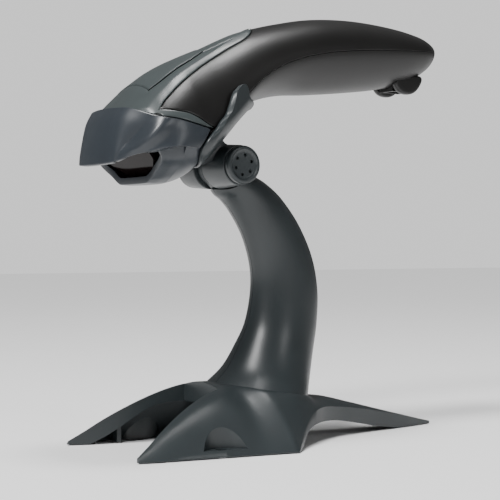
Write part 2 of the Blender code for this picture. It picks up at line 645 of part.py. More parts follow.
def laser_engine():
    """Frame with the laser, the swinging mirror on its pin, the fixed mirror and the light detector."""
    frame = box("engine_frame", (-17, -34, ENGINE_FLOOR), (17, -23.5, ENGINE_FLOOR + 2), "chip")
    boolean(frame, box("engine back", (-16.5, -25.3, ENGINE_FLOOR + 1), (16.5, -23.5, ENGINE_FLOOR + 13)),
            "UNION")
    top = ENGINE_FLOOR + 2 + GAP
    rod("laser_module", (9, -33.5, top + 3.2), (9, -26, top + 3.2), 2.8, "brass", segments=16)
    rod("mirror_pin", (MIRROR_X, MIRROR_Y, top), (MIRROR_X, MIRROR_Y, top + 9.5), 0.6, "steel", segments=12)
    swing = box("scan_mirror", (MIRROR_X - 4.5, MIRROR_Y - 1.3, top + 1.2),
                (MIRROR_X + 4.5, MIRROR_Y + 1.3, top + 8.2),
                "mirror")
    boolean(swing, rod("mirror bore", (MIRROR_X, MIRROR_Y, top), (MIRROR_X, MIRROR_Y, top + 9), 0.8,
                       segments=12))
    origin_to(swing, (MIRROR_X, MIRROR_Y, top + 4.7))
    rod("mirror_coil", (MIRROR_X, -27.9, top + 4.7), (MIRROR_X, -25.8, top + 4.7), 2.6, "brass", segments=16)
    box("collecting_mirror", (0.8, -28.6, top), (5.4, -27.8, top + 9.0), "mirror")
    box("light_detector", (-15.5, -28.5, top), (-11.5, -26.0, top + 4.0), "chip", bevel=0.3)


def origin_to(made, point):
    """Moves an unrotated object's origin without moving its shape."""
    target = place(*point)
    made.data.transform(Matrix.Translation(made.location - target))
    made.location = target


def button_board():
    box("button_board", (-9, -37, 137.0), (9, -17, 138.4), "circuit_board")
    box("button_switch", (-3, -31, 138.4 + GAP), (3, -25, 143.6), "chip", bevel=0.3)
    turned("status_led", ((0, 3.6), (0.9, 3.3), (1.5, 2.4), (1.5, 0), (0, 0)), (0, -21, 138.4 + GAP),
           (0, 0, 1),
           "lens_plastic", steps=12)


# ---------------------------------------------------------------- cup


def cup_point(level, front, rear, share):
    y = front + (rear - front) * share
    if level > 0:
        return SKIN_HALF(y) + CUP_CLEAR, y, SKIN_SIDE_Z(y) + level
    return skin(y, level, CUP_CLEAR)


def cup():
    """Cradle under the neck with two wings, and the split pivot barrel on its lug."""
    rows = [[cup_point(*column_spec, share) for column_spec in CUP_COLUMNS] for share in spread(0, 1, 7)]
    cradle = baked(sheet("cup", rows, "slate_plastic", CUP_WALL, inward=False))
    angles = circle(PIVOT_Y, PIVOT_Z, BARREL_RADIUS - 1.6, 165, 440, 18)
    lug_outline = [(-19.0, 111.4), *angles, (-6.6, 121.2), (-8.0, 122.8)]
    for side in (-1, 1):
        low, high = sorted((side * (SLOT_HALF + GAP), side * LUG_END_X))
        boolean(cradle, plate(f"lug {side}", lug_outline, "side", low, high), "UNION")
        boolean(cradle,
                rod(f"barrel {side}", (side * SLOT_HALF, PIVOT_Y, PIVOT_Z),
                    (side * BARREL_END_X, PIVOT_Y, PIVOT_Z),
                            BARREL_RADIUS, end_radius=BARREL_RADIUS - 1.0, segments=32), "UNION")
        boolean(cradle,
                rod(f"barrel end {side}", (side * 10.5, PIVOT_Y, PIVOT_Z), (side * 20, PIVOT_Y, PIVOT_Z),
                    5.4))
    boolean(cradle, rod("pivot hole", (-20, PIVOT_Y, PIVOT_Z), (20, PIVOT_Y, PIVOT_Z), 2.35))
    return cradle


def pivot_hardware():
    """Bolt through barrel and tongue, its nut, washers and the two end caps."""
    turned("pivot_bolt", ((0, 2.4), (4.2, 2.4), (4.2, 0), (2.0, 0), (2.0, -23.4), (0, -23.4)),
           (-10.9, PIVOT_Y, PIVOT_Z), (-1, 0, 0), "steel")
    nut = rod("pivot_nut", (10.9, PIVOT_Y, PIVOT_Z), (13.2, PIVOT_Y, PIVOT_Z), 4.4, "steel", segments=6)
    boolean(nut, rod("nut bore", (8, PIVOT_Y, PIVOT_Z), (15, PIVOT_Y, PIVOT_Z), 2.2))
    for side, word in ((-1, "left"), (1, "right")):
        washer = rod(f"friction_washer_{word}", (side * 2.72, PIVOT_Y, PIVOT_Z),
                     (side * 3.2, PIVOT_Y, PIVOT_Z), 6.0,
                     "brass")
        boolean(washer,
                rod(f"washer bore {word}", (side * 2, PIVOT_Y, PIVOT_Z), (side * 4, PIVOT_Y, PIVOT_Z), 2.4))
    disc = turned("pivot_disc",
                  ((0, 2.4), (5.7, 2.4), (6.3, 3.0), (7.0, 3.0), (7.6, 2.4), (7.6, 0.4), (7.2, 0),
                                 (5.0, 0), (5.0, -3.2), (0, -3.2)), (17.5 + GAP, PIVOT_Y, PIVOT_Z), (1, 0, 0),
                  "slate_plastic", steps=32)
    for i in range(6):
        turn = math.radians(60 * i + 20)
        y, z = PIVOT_Y + 3.9 * math.cos(turn), PIVOT_Z + 3.9 * math.sin(turn)
        boolean(disc, rod(f"dimple {i}", (19.3, y, z), (22, y, z), 0.75, segments=10))
    turned("pivot_dome",
           ((0, 3.0), (2.8, 2.75), (5.2, 1.9), (6.8, 0.7), (7.5, 0), (5.0, 0), (5.0, -3.2), (0, -3.2)),
           (-17.5 - GAP, PIVOT_Y, PIVOT_Z), (-1, 0, 0), "slate_plastic", steps=32)


# ---------------------------------------------------------------- stand arm
def arm_section(station, side, shrink=0.0, across=GAP / 2, lift=0.0):
    """D-shaped section of one half of the arm."""
    centre_y, centre_z, tilt, depth, width = station
    lean = math.radians(tilt)
    points = []
    for turn in spread(-90, 90, 13):
        u = (depth - shrink) * math.sin(math.radians(turn))
        x = max((width - shrink) * math.cos(math.radians(turn)), across)
        points.append((side * x, centre_y + u * math.cos(lean), centre_z + lift + u * math.sin(lean)))
    if across < 0:
        points[0] = (side * across, points[0][1], points[0][2])
        points[-1] = (side * across, points[-1][1], points[-1][2])
    return points


def arm_half(name, side):
    half = loft(name, [arm_section(station, side) for station in ARM], "slate_plastic")
    inner = [arm_section(ARM[0], side, WALL, -1.0, WALL)] + [arm_section(s, side, WALL,
                                                                         -1.0) for s in ARM[1:8]]
    boolean(half, loft(f"{name} hollow", inner))
    boolean(half, rod(f"{name} saddle", (side * -1, PIVOT_Y, PIVOT_Z), (side * 30, PIVOT_Y, PIVOT_Z),
                      BARREL_RADIUS + 0.45, segments=32))
    aim = math.degrees(math.atan2(ARM[-3][1] - PIVOT_Z, ARM[-3][0] - PIVOT_Y))
    round_end = circle(PIVOT_Y, PIVOT_Z, TONGUE_RADIUS, aim + 90, aim + 270, 14)
    reach = Vector((math.cos(math.radians(aim)), math.sin(math.radians(aim)))) * 19.0
    tail = [(round_end[-1][0] + reach.x, round_end[-1][1] + reach.y),
            (round_end[0][0] + reach.x, round_end[0][1] + reach.y)]
    low, high = sorted((side * GAP, side * TONGUE_HALF))
    boolean(half, plate(f"{name} tongue", round_end + tail, "side", low, high), "UNION")
    boolean(half, rod(f"{name} pivot hole", (side * -1, PIVOT_Y, PIVOT_Z), (side * 6, PIVOT_Y, PIVOT_Z), 2.3))
    foot = foot_point(side)
    boolean(half, rod(f"{name} boss", foot(1.0), foot(13.0), 3.4, segments=14), "UNION")
    boolean(half, rod(f"{name} pilot", foot(-3.0), foot(11.0), 1.6, segments=12))
    weld = half.modifiers.new("weld", "WELD")
    weld.merge_threshold = 0.00002
    return half


def foot_point(side):
    """Points along the foot screw's line, by distance above the foot plane."""
    normal = Vector((0, FOOT_SLOPE, 1)).normalized()
    seat = Vector((side * FOOT_SCREW_X, FOOT_SCREW_Y, FOOT_LEVEL - FOOT_SLOPE * FOOT_SCREW_Y))
    return lambda distance: tuple(seat + normal * distance)


# ---------------------------------------------------------------- base
BASE_EDGE, BASE_MIDDLE_Z, BASE_EDGE_Z, BASE_HALF, BASE_LIP, BASE_POWER = (
    [(row[0], row[i]) for row in BASE] for i in range(1, 7))


def base_value(points, y):
    return float(np.interp(y, [p[0] for p in points], [p[1] for p in points]))


def base_section(y, inset=0.0, floor=BASE_RIM_Z):
    """Closed section of the base at one station, made smaller all round by the inset."""
    edge, middle_z = base_value(BASE_EDGE, y), base_value(BASE_MIDDLE_Z, y) - inset
    edge_z, half = base_value(BASE_EDGE_Z, y) - inset, base_value(BASE_HALF, y) - inset
    lip, power = base_value(BASE_LIP, y) - inset, base_value(BASE_POWER, y)
    edge = min(edge, half - 0.4)
    right = [(edge * s, middle_z + (edge_z - middle_z) * s * s) for s in (0.5, 1.0)]
    right += [(edge + (half - edge) * t, lip + (edge_z - lip) * (1 - t ** power)) for t in (0.2, 0.4, 0.6,
                                                                                            0.8, 0.92, 1.0)]
    right = [(x, max(z, floor + 0.1)) for x, z in right]
    top = [(-x, y, z) for x,
           z in reversed(right)] + [(0, y, max(middle_z, floor + 0.1))] + [(x, y, z) for x, z in right]
    return top + [(half, y, floor), (-half, y, floor)]


def notch_edge(y):
    return float(np.interp(y, [row[0] for row in BASE[:6]], [row[1] for row in BASE[:6]]))


def notch_outline(out):
    """Plan of the notch between the toes, made wider by the given distance."""
    front = [(x + out, y) for y, x in ((-60.0, 29.0), *((row[0], row[1]) for row in BASE[:5]))]
    front.append((BASE[5][1] + out, BASE[5][0] + out))
    return front + [(-x, y) for x, y in reversed(front)]


def base_shell():
    """Thin moulded base with two toes, a tail, lifted arches and a screw pocket in each side."""
    shell = loft("base_shell", [base_section(row[0]) for row in BASE], "slate_plastic")
    hollow_y = [-45.0, *[row[0] for row in BASE if -44 < row[0] < 80], 86.0]
    hollow = loft("base hollow", [base_section(y, BASE_WALL, -1.0) for y in hollow_y])
    for side in (-1, 1):
        boolean(hollow,
                rod(f"pocket wall {side}", (side * POCKET_X, POCKET_Y, -3), (side * POCKET_X, POCKET_Y, 40),
                            POCKET_RADIUS + 1.8))
        boolean(hollow,
                rod(f"side pad post {side}", (side * 34, 2.5, -3), (side * 34, 2.5, 40), 5.2, segments=14))
        boolean(hollow, rod(f"ballast post {side}", (side * 12, 4, -3), (side * 12, 4, 40), 3.4, segments=12))
    boolean(hollow, plate("notch wall", notch_outline(NOTCH_WALL), "plan", -3, 50))
    boolean(hollow, box("toe rib left", (-40, -36.8, -5), (0, -35.2, 40)))
    boolean(hollow, box("toe rib right", (0, -36.8, -5), (40, -35.2, 40)))
    boolean(hollow, rod("rear ballast post", (0, 40, -3), (0, 40, 40), 3.4, segments=12))
    boolean(shell, baked(hollow))
    space = [(-15.2, -0.4), (15.2, -0.4), (15.2, 26.3), (8.2, 44.7), (-8.2, 44.7), (-15.2, 26.3)]
    boolean(shell, plate("ballast space", space, "plan", -1, BALLAST_BOTTOM + BALLAST_THICK + GAP))
    boolean(shell, plate("notch", notch_outline(0.2), "plan", -3, 50))
    under = []
    for y, z in NOTCH_CLEARANCE:
        half = notch_edge(y) + 3.4
        under.append([(-half, y, -3), (half, y, -3), (half, y, z), (-half, y, z)])
    boolean(shell, loft("notch arch", under))
    for side in (-1, 1):
        arch = []
        for y, z in ARCH_CLEARANCE:
            near, far = side * (base_value(BASE_HALF, y) - 3.3), side * (base_value(BASE_HALF, y) + 8)
            arch.append([(near, y, -3), (far, y, -3), (far, y, z), (near, y, z)])
        boolean(shell, loft(f"rear arch {side}", arch))
        boolean(shell,
                rod(f"pocket {side}", (side * POCKET_X, POCKET_Y, POCKET_FLOOR),
                    (side * POCKET_X, POCKET_Y, 40),
                           POCKET_RADIUS, segments=28))
        boolean(shell,
                rod(f"counter screw hole {side}", (side * COUNTER_SCREW_X, POCKET_Y, -2),
                    (side * COUNTER_SCREW_X, POCKET_Y, 6), 2.2,
                           segments=14))
        foot = foot_point(side)
        boolean(shell, rod(f"foot screw hole {side}", foot(-9.0), foot(3.0), 1.9, segments=12))
        pilot = rod(f"ballast pilot {side}", (side * 12, 4, BALLAST_BOTTOM), (side * 12, 4, 15), 1.5,
                    segments=10)
        boolean(shell, pilot)
    boolean(shell, rod("rear ballast pilot", (0, 40, BALLAST_BOTTOM), (0, 40, 15), 1.5, segments=10))
    for name, (x, y, radius) in PADS.items():
        boolean(shell, rod(f"{name} recess", (x, y, -2), (x, y, PAD_HEIGHT + GAP), radius + GAP))
    return shell


def base_parts():
    outline = [(-14.5, 0.5), (14.5, 0.5), (14.5, 26), (7.5, 44), (-7.5, 44), (-14.5, 26)]
    ballast = plate("ballast_plate", outline, "plan", BALLAST_BOTTOM, BALLAST_BOTTOM + BALLAST_THICK, "steel")
    for name, x, y in (("ballast_screw_left", -12, 4), ("ballast_screw_right", 12, 4),
                       ("ballast_screw_rear", 0, 40)):
        boolean(ballast, rod(f"{name} hole", (x, y, 0), (x, y, 15), 1.6, segments=12))
        boolean(ballast, rod(f"{name} sink", (x, y, 0), (x, y, BALLAST_BOTTOM + 1.6), 2.9, segments=12))
        screw(name, (x, y, BALLAST_BOTTOM + 1.6 - GAP), (0, 0, -1), 2.5, 1.2, 1.2, 6.0)
    for side, word in ((-1, "left"), (1, "right")):
        seat = foot_point(side)(-(BASE_WALL + 1.2))
        screw(f"arm_screw_{word}", seat, (0, -FOOT_SLOPE, -1), 3.0, 1.6, 1.25, 12.0)
    for name, (x, y, radius) in PADS.items():
        rod(name, (x, y, 0), (x, y, PAD_HEIGHT), radius, "rubber")


# ---------------------------------------------------------------- build
clear_scene()
PARTS = new_collection(OBJECT_NAME)
CUTTERS = new_collection("cutters")

base_shell()
base_parts()
arm_half("arm_left_shell", -1)
arm_half("arm_right_shell", 1)
cup()
pivot_hardware()
upper_housing()
lower_housing()
nose_bezel()
window_frame()
scan_window()
top_trim()
trigger_button()
main_board()
laser_engine()
button_board()
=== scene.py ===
"""Looks for the barcode scanner in its hands-free stand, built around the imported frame.

Shapes are drawn in millimetres from the arm's front foot, as in the part: X across, Y from nose to tail,
Z up. place() turns that into metres in the row frame.
"""
import json
import math

import bmesh
import bpy
import numpy as np
from mathutils import Matrix, Vector


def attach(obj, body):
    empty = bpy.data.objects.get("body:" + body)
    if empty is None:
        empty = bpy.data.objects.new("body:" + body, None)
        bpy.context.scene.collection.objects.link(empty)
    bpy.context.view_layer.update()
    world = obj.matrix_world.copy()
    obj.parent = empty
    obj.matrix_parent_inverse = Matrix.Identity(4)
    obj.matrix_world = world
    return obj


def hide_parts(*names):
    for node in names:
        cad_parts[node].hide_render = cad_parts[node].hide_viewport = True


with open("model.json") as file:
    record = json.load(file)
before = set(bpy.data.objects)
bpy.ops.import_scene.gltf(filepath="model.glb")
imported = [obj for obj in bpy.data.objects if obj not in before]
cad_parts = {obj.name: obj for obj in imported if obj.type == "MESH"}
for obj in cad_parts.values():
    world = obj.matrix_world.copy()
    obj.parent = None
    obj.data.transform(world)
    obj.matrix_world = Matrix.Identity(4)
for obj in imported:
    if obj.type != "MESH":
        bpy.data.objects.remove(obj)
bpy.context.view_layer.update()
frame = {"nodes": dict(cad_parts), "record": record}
NODES = frame["nodes"]

MM = 0.001
MIDDLE_Y = 24.0
WELD_DISTANCE, SLIVER_EDGE, FLATNESS = 0.000002, 0.000001, 1e-7     # metres
SHARP_ANGLE = 32.0                    # edges that turn by more are drawn sharp, degrees
BEVEL_SEGMENTS = 3
LEAST_RADIUS = 0.05
ROUND = ((0.0, -0.30), (0.30, -0.09), (1.0, 0.0))     # share of the rounding's width, depth
VISOR_SHARP_ANGLE = 7.0
LINE = 0.16                           # half of a moulded parting line
GAP = 0.35

# ---------------------------------------------------------------- shared dimensions, millimetres
PIVOT_Y, PIVOT_Z = -3.9, 112.2
BARREL_RADIUS, BARREL_END_X, SLOT_HALF = 9.0, 17.5, 3.4

# scanner skin, stations from nose to tail: y, top, bottom, height of the widest line, half width
SKIN = (
    (-54.6, 131.2, 113.5, 121.0, 22.0),
    (-52.0, 133.5, 112.0, 121.0, 24.0),
    (-48.0, 137.6, 107.0, 121.0, 26.8),
    (-44.0, 141.7, 104.8, 121.0, 28.3),
    (-39.5, 145.2, 104.3, 121.0, 29.2),
    (-35.0, 148.5, 104.3, 121.3, 29.3),
    (-29.0, 151.9, 105.0, 122.3, 28.6),
    (-24.5, 154.0, 107.0, 123.6, 27.4),
    (-20.0, 156.0, 112.0, 126.0, 26.0),
    (-12.0, 159.4, 121.0, 131.5, 23.6),
    (-4.0, 163.2, 129.0, 138.5, 21.5),
    (4.0, 166.7, 135.6, 145.5, 19.9),
    (12.3, 169.3, 139.4, 151.0, 18.8),
    (24.0, 172.3, 142.4, 156.0, 17.9),
    (40.0, 175.5, 143.8, 160.0, 17.4),
    (60.0, 177.0, 145.9, 162.5, 17.2),
    (78.0, 176.3, 148.4, 163.8, 17.0),
    (92.0, 174.5, 151.6, 164.6, 16.0),
    (100.0, 172.4, 155.3, 165.0, 13.6),
    (104.3, 169.8, 159.0, 165.2, 9.4),
    (106.2, 167.0, 163.2, 165.3, 3.6),
    (106.5, 166.2, 164.4, 165.3, 1.6),
    (106.6, 165.4, 165.2, 165.3, 0.3),
)
SKIN_POWER = 1.85

# inlay, trigger button and collar band: y and half width, or y and height
INLAY_TIP_Y = 12.3
INLAY = ((-53.3, 0.5), (-52.6, 8.8), (-50.9, 15.4), (-48.6, 20.0), (-46.0, 23.4), (-44.3, 23.3),
         (-41.2, 21.9), (-35.6, 19.9), (-29.2, 17.5), (-20.5, 14.1), (-12.4, 11.7), (-4.8, 10.3), (1.1, 9.6),
         (4.5, 8.8), (7.0, 7.5), (9.8, 4.9), (INLAY_TIP_Y, 0.0))
INLAY_CREASE = ((-48.2, 20.4), (-42.3, 18.4), (-29.5, 14.4), (-19.1, 11.4), (-5.9, 7.6), (6.2, 4.3),
                (INLAY_TIP_Y, 0.0))
CREASE_RISE = 0.5                     # the inlay's crease stands above the skin
BUTTON_ROWS = ((-43.0, 13.0), (-36.0, 12.6), (-28.0, 10.4), (-20.0, 8.0), (-13.5, 5.4))
BAND_UPPER = ((-46.0, 131.9), (-38.0, 131.2), (-33.0, 130.4), (-29.0, 128.7), (-25.5, 126.9), (-22.5, 125.6))
BAND_LOWER = ((-46.0, 129.0), (-38.0, 128.0), (-33.0, 126.9), (-29.0, 126.1), (-25.5, 125.5), (-22.5, 125.0))

# visor and cheeks: lines from the middle to the rear of the cheek, each from the upper edge to the lower
VISOR = (
    ((0, -54.8, 133.2), (0, -57.6, 128.5), (0, -59.5, 121.5), (0, -60.6, 115.5), (0, -61.0, 111.0)),
    ((9, -54.2, 133.0), (8.7, -56.9, 128.2), (8.4, -58.8, 121.3), (8, -60.0, 115.4), (8, -60.4, 111.2)),
    ((16, -52.4, 132.3), (15.2, -55.3, 127.5), (14.4, -57.3, 121), (13.8, -58.6, 115.5),
     (13.4, -59.1, 111.6)),
    ((24, -47.4, 129.5), (21.3, -50.0, 125.3), (18.1, -53.2, 120.3), (15.9, -56.7, 115.9),
     (14.8, -58.0, 112.1)),
    ((27.9, -43.8, 128.4), (27.7, -46.9, 124.8), (26.3, -49.8, 120.8), (23.7, -52.1, 117.2),
     (21.1, -53.3, 114.3)),
    ((28.9, -38.2, 127.7), (29.0, -40.2, 124.5), (28.6, -42.7, 121.0), (27.9, -45.2, 118.2),
     (26.8, -47.7, 115.9)),
    ((29.0, -32.5, 126.5), (29.5, -34.2, 124.0), (29.8, -36.1, 121.4), (29.9, -38.0, 119.2),
     (29.9, -39.8, 117.6)),
    ((27.9, -24.2, 124.7), (28.6, -25.7, 122.6), (29.1, -27.2, 120.6), (29.3, -28.6, 118.8),
     (29.2, -29.8, 117.1)),
)

# jaw round the window: three lines from the middle to the side
JAW_FRONT = ((0, -42.8, 104.2), (9.0, -42.7, 104.3), (12.6, -42.6, 105.2), (17.0, -42.8, 107.8),
             (24.6, -43.8, 112.4), (25.9, -46.2, 116.8))
JAW_MIDDLE = ((0, -39.0, 104.0), (9.0, -39.0, 104.1), (13.2, -39.0, 105.2), (18.0, -39.0, 107.9),
              (25.6, -39.0, 113.0), (27.8, -39.5, 118.6))
JAW_REAR = ((0, -34.4, 104.2), (9.0, -34.4, 104.4), (13.6, -34.4, 105.8), (18.6, -34.4, 108.6),
            (25.4, -34.4, 113.2), (27.7, -34.4, 118.4))

# lobes beside the cable socket: outline in y and z, drawn at (size, distance out) levels
EAR_X, EAR_MIDDLE = 5.6, (90.5, 150.8)
EAR_LEVELS = ((0.86, 0.0), (0.95, 0.25), (1.0, 0.8), (1.0, 2.1), (0.93, 2.75), (0.84, 3.0))
EAR_PROFILE = ((82.5, 151.6), (83.6, 149.2), (85.4, 147.4), (87.8, 146.5), (91.0, 146.3), (93.8, 147.0),
               (96.0, 148.6), (97.8, 150.9), (99.2, 153.6), (98.0, 156.0), (84.0, 153.0))

# lower line of the inlay's flank ahead of the collar band: stations y, heights
INLAY_FRONT_Z = (-53.3, -51.0, -48.6, -46.2, -44.2, -42.0), (134.0, 133.6, 132.5, 130.8, 129.6, 129.0)
BAND_COLUMNS = 10                     # cells across the collar band
BUTTON_LEDGE = 0.6                    # the inlay's wall beside the trigger button
HOUSING_WALL, VISOR_WALL, JAW_WALL, INLAY_WALL = 2.0, 1.9, 2.7, 1.6
SEAM_ANGLE = 2.4 * LINE               # half of the parting line between the black housings, degrees
EDGE_ANGLE = 0.9                      # width of a rounded edge round the skin, degrees
BAND_FRONT_Y, BAND_END_Y, CHIN_REAR_Y = -44.2, -23.0, -24.2

# arm, stations from foot to saddle: y, z, tilt in degrees, half depth, half width
ARM = (
    (15.75, 20.9, -9.8, 20.9, 22.2),
    (20.4, 28.0, -9.0, 19.0, 17.2),
    (24.4, 37.8, -5.0, 17.8, 13.6),
    (28.0, 48.4, -1.3, 16.7, 11.4),
    (29.6, 61.6, 0.0, 15.8, 10.2),
    (27.9, 74.0, 7.0, 14.7, 9.6),
    (22.6, 86.6, 11.0, 13.3, 9.3),
    (15.4, 96.6, 15.0, 12.0, 9.1),
    (9.5, 102.0, 20.0, 10.6, 9.1),
    (4.5, 105.0, 24.0, 9.5, 9.0),
    (1.0, 107.6, 24.0, 8.0, 8.6),
)
TONGUE_HALF, TONGUE_RADIUS = 2.5, 7.4

# base, stations: y, edge of the flat or notch, height at the middle, height at that edge,
# half width, height at the side, power of the flank
BASE = (
    (-56.5, 27.8, 2.0, 2.0, 29.6, 0.7, 1.6),
    (-50.0, 25.4, 5.9, 5.9, 31.3, 0.7, 1.6),
    (-43.8, 23.0, 9.9, 9.9, 32.3, 0.7, 1.7),
    (-32.3, 18.5, 16.2, 16.2, 34.1, 0.7, 1.8),
    (-21.1, 15.0, 21.0, 21.0, 35.9, 0.7, 1.8),
    (-11.7, 12.5, 25.4, 23.7, 37.3, 0.7, 1.7),
    (-4.0, 10.0, 24.8, 24.6, 38.5, 0.7, 1.5),
    (5.0, 19.2, 23.3, 23.2, 40.0, 0.7, 1.3),
    (8.5, 20.6, 22.7, 22.6, 40.5, 0.7, 1.3),
    (11.0, 21.3, 22.3, 22.2, 38.0, 2.1, 1.3),
    (15.0, 22.2, 21.6, 21.5, 34.0, 4.7, 1.3),
    (22.0, 21.2, 20.4, 20.3, 28.0, 9.4, 1.3),
    (30.0, 16.4, 19.0, 18.9, 22.0, 12.9, 1.4),
    (38.0, 6.0, 17.6, 17.5, 17.0, 13.8, 1.6),
    (48.0, 4.0, 16.6, 16.4, 13.0, 12.9, 1.8),
    (60.0, 3.0, 13.7, 13.6, 10.0, 11.3, 1.8),
    (72.0, 2.4, 10.7, 10.6, 7.5, 9.2, 1.8),
    (85.0, 1.8, 7.4, 7.3, 5.5, 6.6, 1.8),
    (97.0, 1.2, 4.4, 4.3, 3.5, 4.1, 1.8),
    (109.0, 0.4, 1.5, 1.5, 1.0, 1.4, 1.8),
)
BASE_RIM_Z, BASE_WALL = 0.4, 2.4
NOTCH_WALL = 2.7
POCKET_X, POCKET_Y, POCKET_RADIUS, POCKET_FLOOR = 39.6, -22.3, 10.6, 3.0
COUNTER_SCREW_X = 32.0
BELOW_BASE, ABOVE_BASE = -3, 40       # ends of the cutters that go through the base
NOTCH_CLEARANCE = ((-8.4, 17.0), (-20.0, 16.3), (-26.0, 14.2), (-32.0, 10.7), (-37.0, 7.0), (-42.6, 3.3),
                   (-48.0, 0.5))
ARCH_CLEARANCE = ((9.5, 0.5), (15.0, 1.2), (18.0, 3.8), (22.0, 6.0), (30.0, 7.7), (38.0, 7.8), (48.0, 7.1),
                  (60.0, 5.0), (72.0, 2.6), (86.0, 0.5))

# cup, columns from the wing's tip to the bottom line: height above the widest line or angle below it,
# front y, rear y
CUP_COLUMNS = (
    (8.2, -11.6, -8.6), (7.0, -12.7, -6.4), (4.6, -14.2, -4.9), (2.2, -16.3, -4.3),
    (0.0, -21.0, -3.8), (-10.0, -26.2, -2.6), (-20.0, -28.2, -0.8), (-32.0, -27.0, 1.4), (-46.0, -24.4, 4.2),
    (-60.0, -22.0, 6.8), (-75.0, -20.0, 9.6), (-90.0, -18.9, 10.9),
)
CUP_CLEAR, CUP_WALL = 0.55, 2.5
EDGE_SHARE, EDGE_REACH = 0.45, 0.22   # the front edge's share of the wall, and how far back it thickens
LUG_END_X = 10.5
BOLT_RADIUS, CAP_BORE_RADIUS = 2.35, 5.4
CAP_CLEAR, DIMPLE_RING, DIMPLE_RADIUS, DOME_SIZE = 0.2, 3.9, 0.7, (7.5, 3.0)
ROUND_STEPS = 96                      # round the pivot's turned pieces


# ---------------------------------------------------------------- camera
def look_from(position, forward, lens):
    """A camera in metres with its viewing direction and its lens in millimetres."""
    data = bpy.data.cameras.new("camera")
    data.lens, data.sensor_width, data.clip_start = lens, 36.0, 0.01
    camera = bpy.data.objects.new("camera", data)
    bpy.context.scene.collection.objects.link(camera)
    camera.location = position
    camera.rotation_euler = Vector(forward).to_track_quat("-Z", "Y").to_euler()
    bpy.context.scene.camera = camera


look_from((0.4771, -0.3321, 0.0811), (-0.8300, 0.5577, -0.0045), 100.44)


# ---------------------------------------------------------------- shape helpers
def place(x, y, z):
    """A drawn point in the row frame."""
    return Vector((x * MM, (y - MIDDLE_Y) * MM, z * MM))


def smooth(points):
    """A smooth function through (position, value) points: cubic pieces with limited slopes."""
    where = np.array([p[0] for p in points], float)
    value = np.array([p[1] for p in points], float)
    slope = np.diff(value) / np.diff(where)
    tangent = np.concatenate(([slope[0]], (slope[:-1] + slope[1:]) / 2, [slope[-1]]))
    for i, rise in enumerate(slope):
        limit = 3 * abs(rise)
        tangent[i] = np.clip(tangent[i], -limit, limit)
        tangent[i + 1] = np.clip(tangent[i + 1], -limit, limit)

    def at(position):
        position = float(np.clip(position, where[0], where[-1]))
        i = min(int(np.searchsorted(where, position, side="right")) - 1, len(slope) - 1)
        width = where[i + 1] - where[i]
        t = (position - where[i]) / width
        keep = value[i] * (1 + 2 * t) * (1 - t) ** 2 + value[i + 1] * t * t * (3 - 2 * t)
        return keep + width * (tangent[i] * t * (1 - t) ** 2 - tangent[i + 1] * t * t * (1 - t))
    return at


def column(table, index):
    """One column of a station table as a smooth function of y."""
    return smooth([(row[0], row[index]) for row in table])


def spread(low, high, count):
    """Evenly spaced numbers from low to high."""
    return [low + (high - low) * i / (count - 1) for i in range(count)]


def finer(stations, step):
    """The stations with more between them, at most one step apart."""
    out = []
    for a, b in zip(stations, stations[1:]):
        out += spread(a, b, max(2, math.ceil((b - a) / step) + 1))[:-1]
    return out + [stations[-1]]


def add_object(name, mesh):
    """A mesh put into the scene."""
    made = bpy.data.objects.new(name, mesh)
    bpy.context.scene.collection.objects.link(made)
    return made


def shade(mesh, degrees=SHARP_ANGLE):
    """Smooth faces with sharp edges where the surface turns by more than the angle."""
    bm = bmesh.new()
    bm.from_mesh(mesh)
    limit = math.radians(degrees)
    for face in bm.faces:
        face.smooth = True
    for edge in bm.edges:
        edge.smooth = len(edge.link_faces) == 2 and edge.calc_face_angle(0.0) < limit
    bm.to_mesh(mesh)
    bm.free()


def mesh_from(bm, name):
    """A mesh with its doubled points welded and its faces turned outwards."""
    bmesh.ops.remove_doubles(bm, verts=bm.verts, dist=WELD_DISTANCE)
    bmesh.ops.dissolve_degenerate(bm, edges=bm.edges, dist=SLIVER_EDGE)
    bmesh.ops.recalc_face_normals(bm, faces=bm.faces)
    mesh = bpy.data.meshes.new(name)
    bm.to_mesh(mesh)
    bm.free()
    return mesh


def slab(name, outer, inner, holes=()):
    """A wall between two like grids, both drawn up to the middle plane and mirrored there."""
    layers = []
    bm = bmesh.new()
    for rows in (outer, inner):
        rows = [[*row, *((-x, y, z) for x, y, z in reversed(row[:-1]))] for row in rows]
        layers.append([[bm.verts.new(place(*point)) for point in row] for row in rows])
    width = 2 * len(outer[0]) - 2
    cells = {(i, k) for i in range(len(outer) - 1) for k in range(width)}
    cells -= {(i, j) for i, k in holes for j in (k, width - 1 - k)}
    for i, k in sorted(cells):
        for grid in layers:
            bm.faces.new((grid[i][k], grid[i][k + 1], grid[i + 1][k + 1], grid[i + 1][k]))
        edges = {(i - 1, k): ((i, k), (i, k + 1)), (i + 1, k): ((i + 1, k), (i + 1, k + 1)),
                 (i, k - 1): ((i, k), (i + 1, k)), (i, k + 1): ((i, k + 1), (i + 1, k + 1))}
        for beyond, (a, b) in edges.items():
            if beyond not in cells:
                top, bottom = layers
                bm.faces.new((top[a[0]][a[1]], top[b[0]][b[1]], bottom[b[0]][b[1]], bottom[a[0]][a[1]]))
    bmesh.ops.delete(bm, geom=[v for v in bm.verts if not v.link_faces], context="VERTS")
    made = add_object(name, mesh_from(bm, name))
    shade(made.data)
    return made


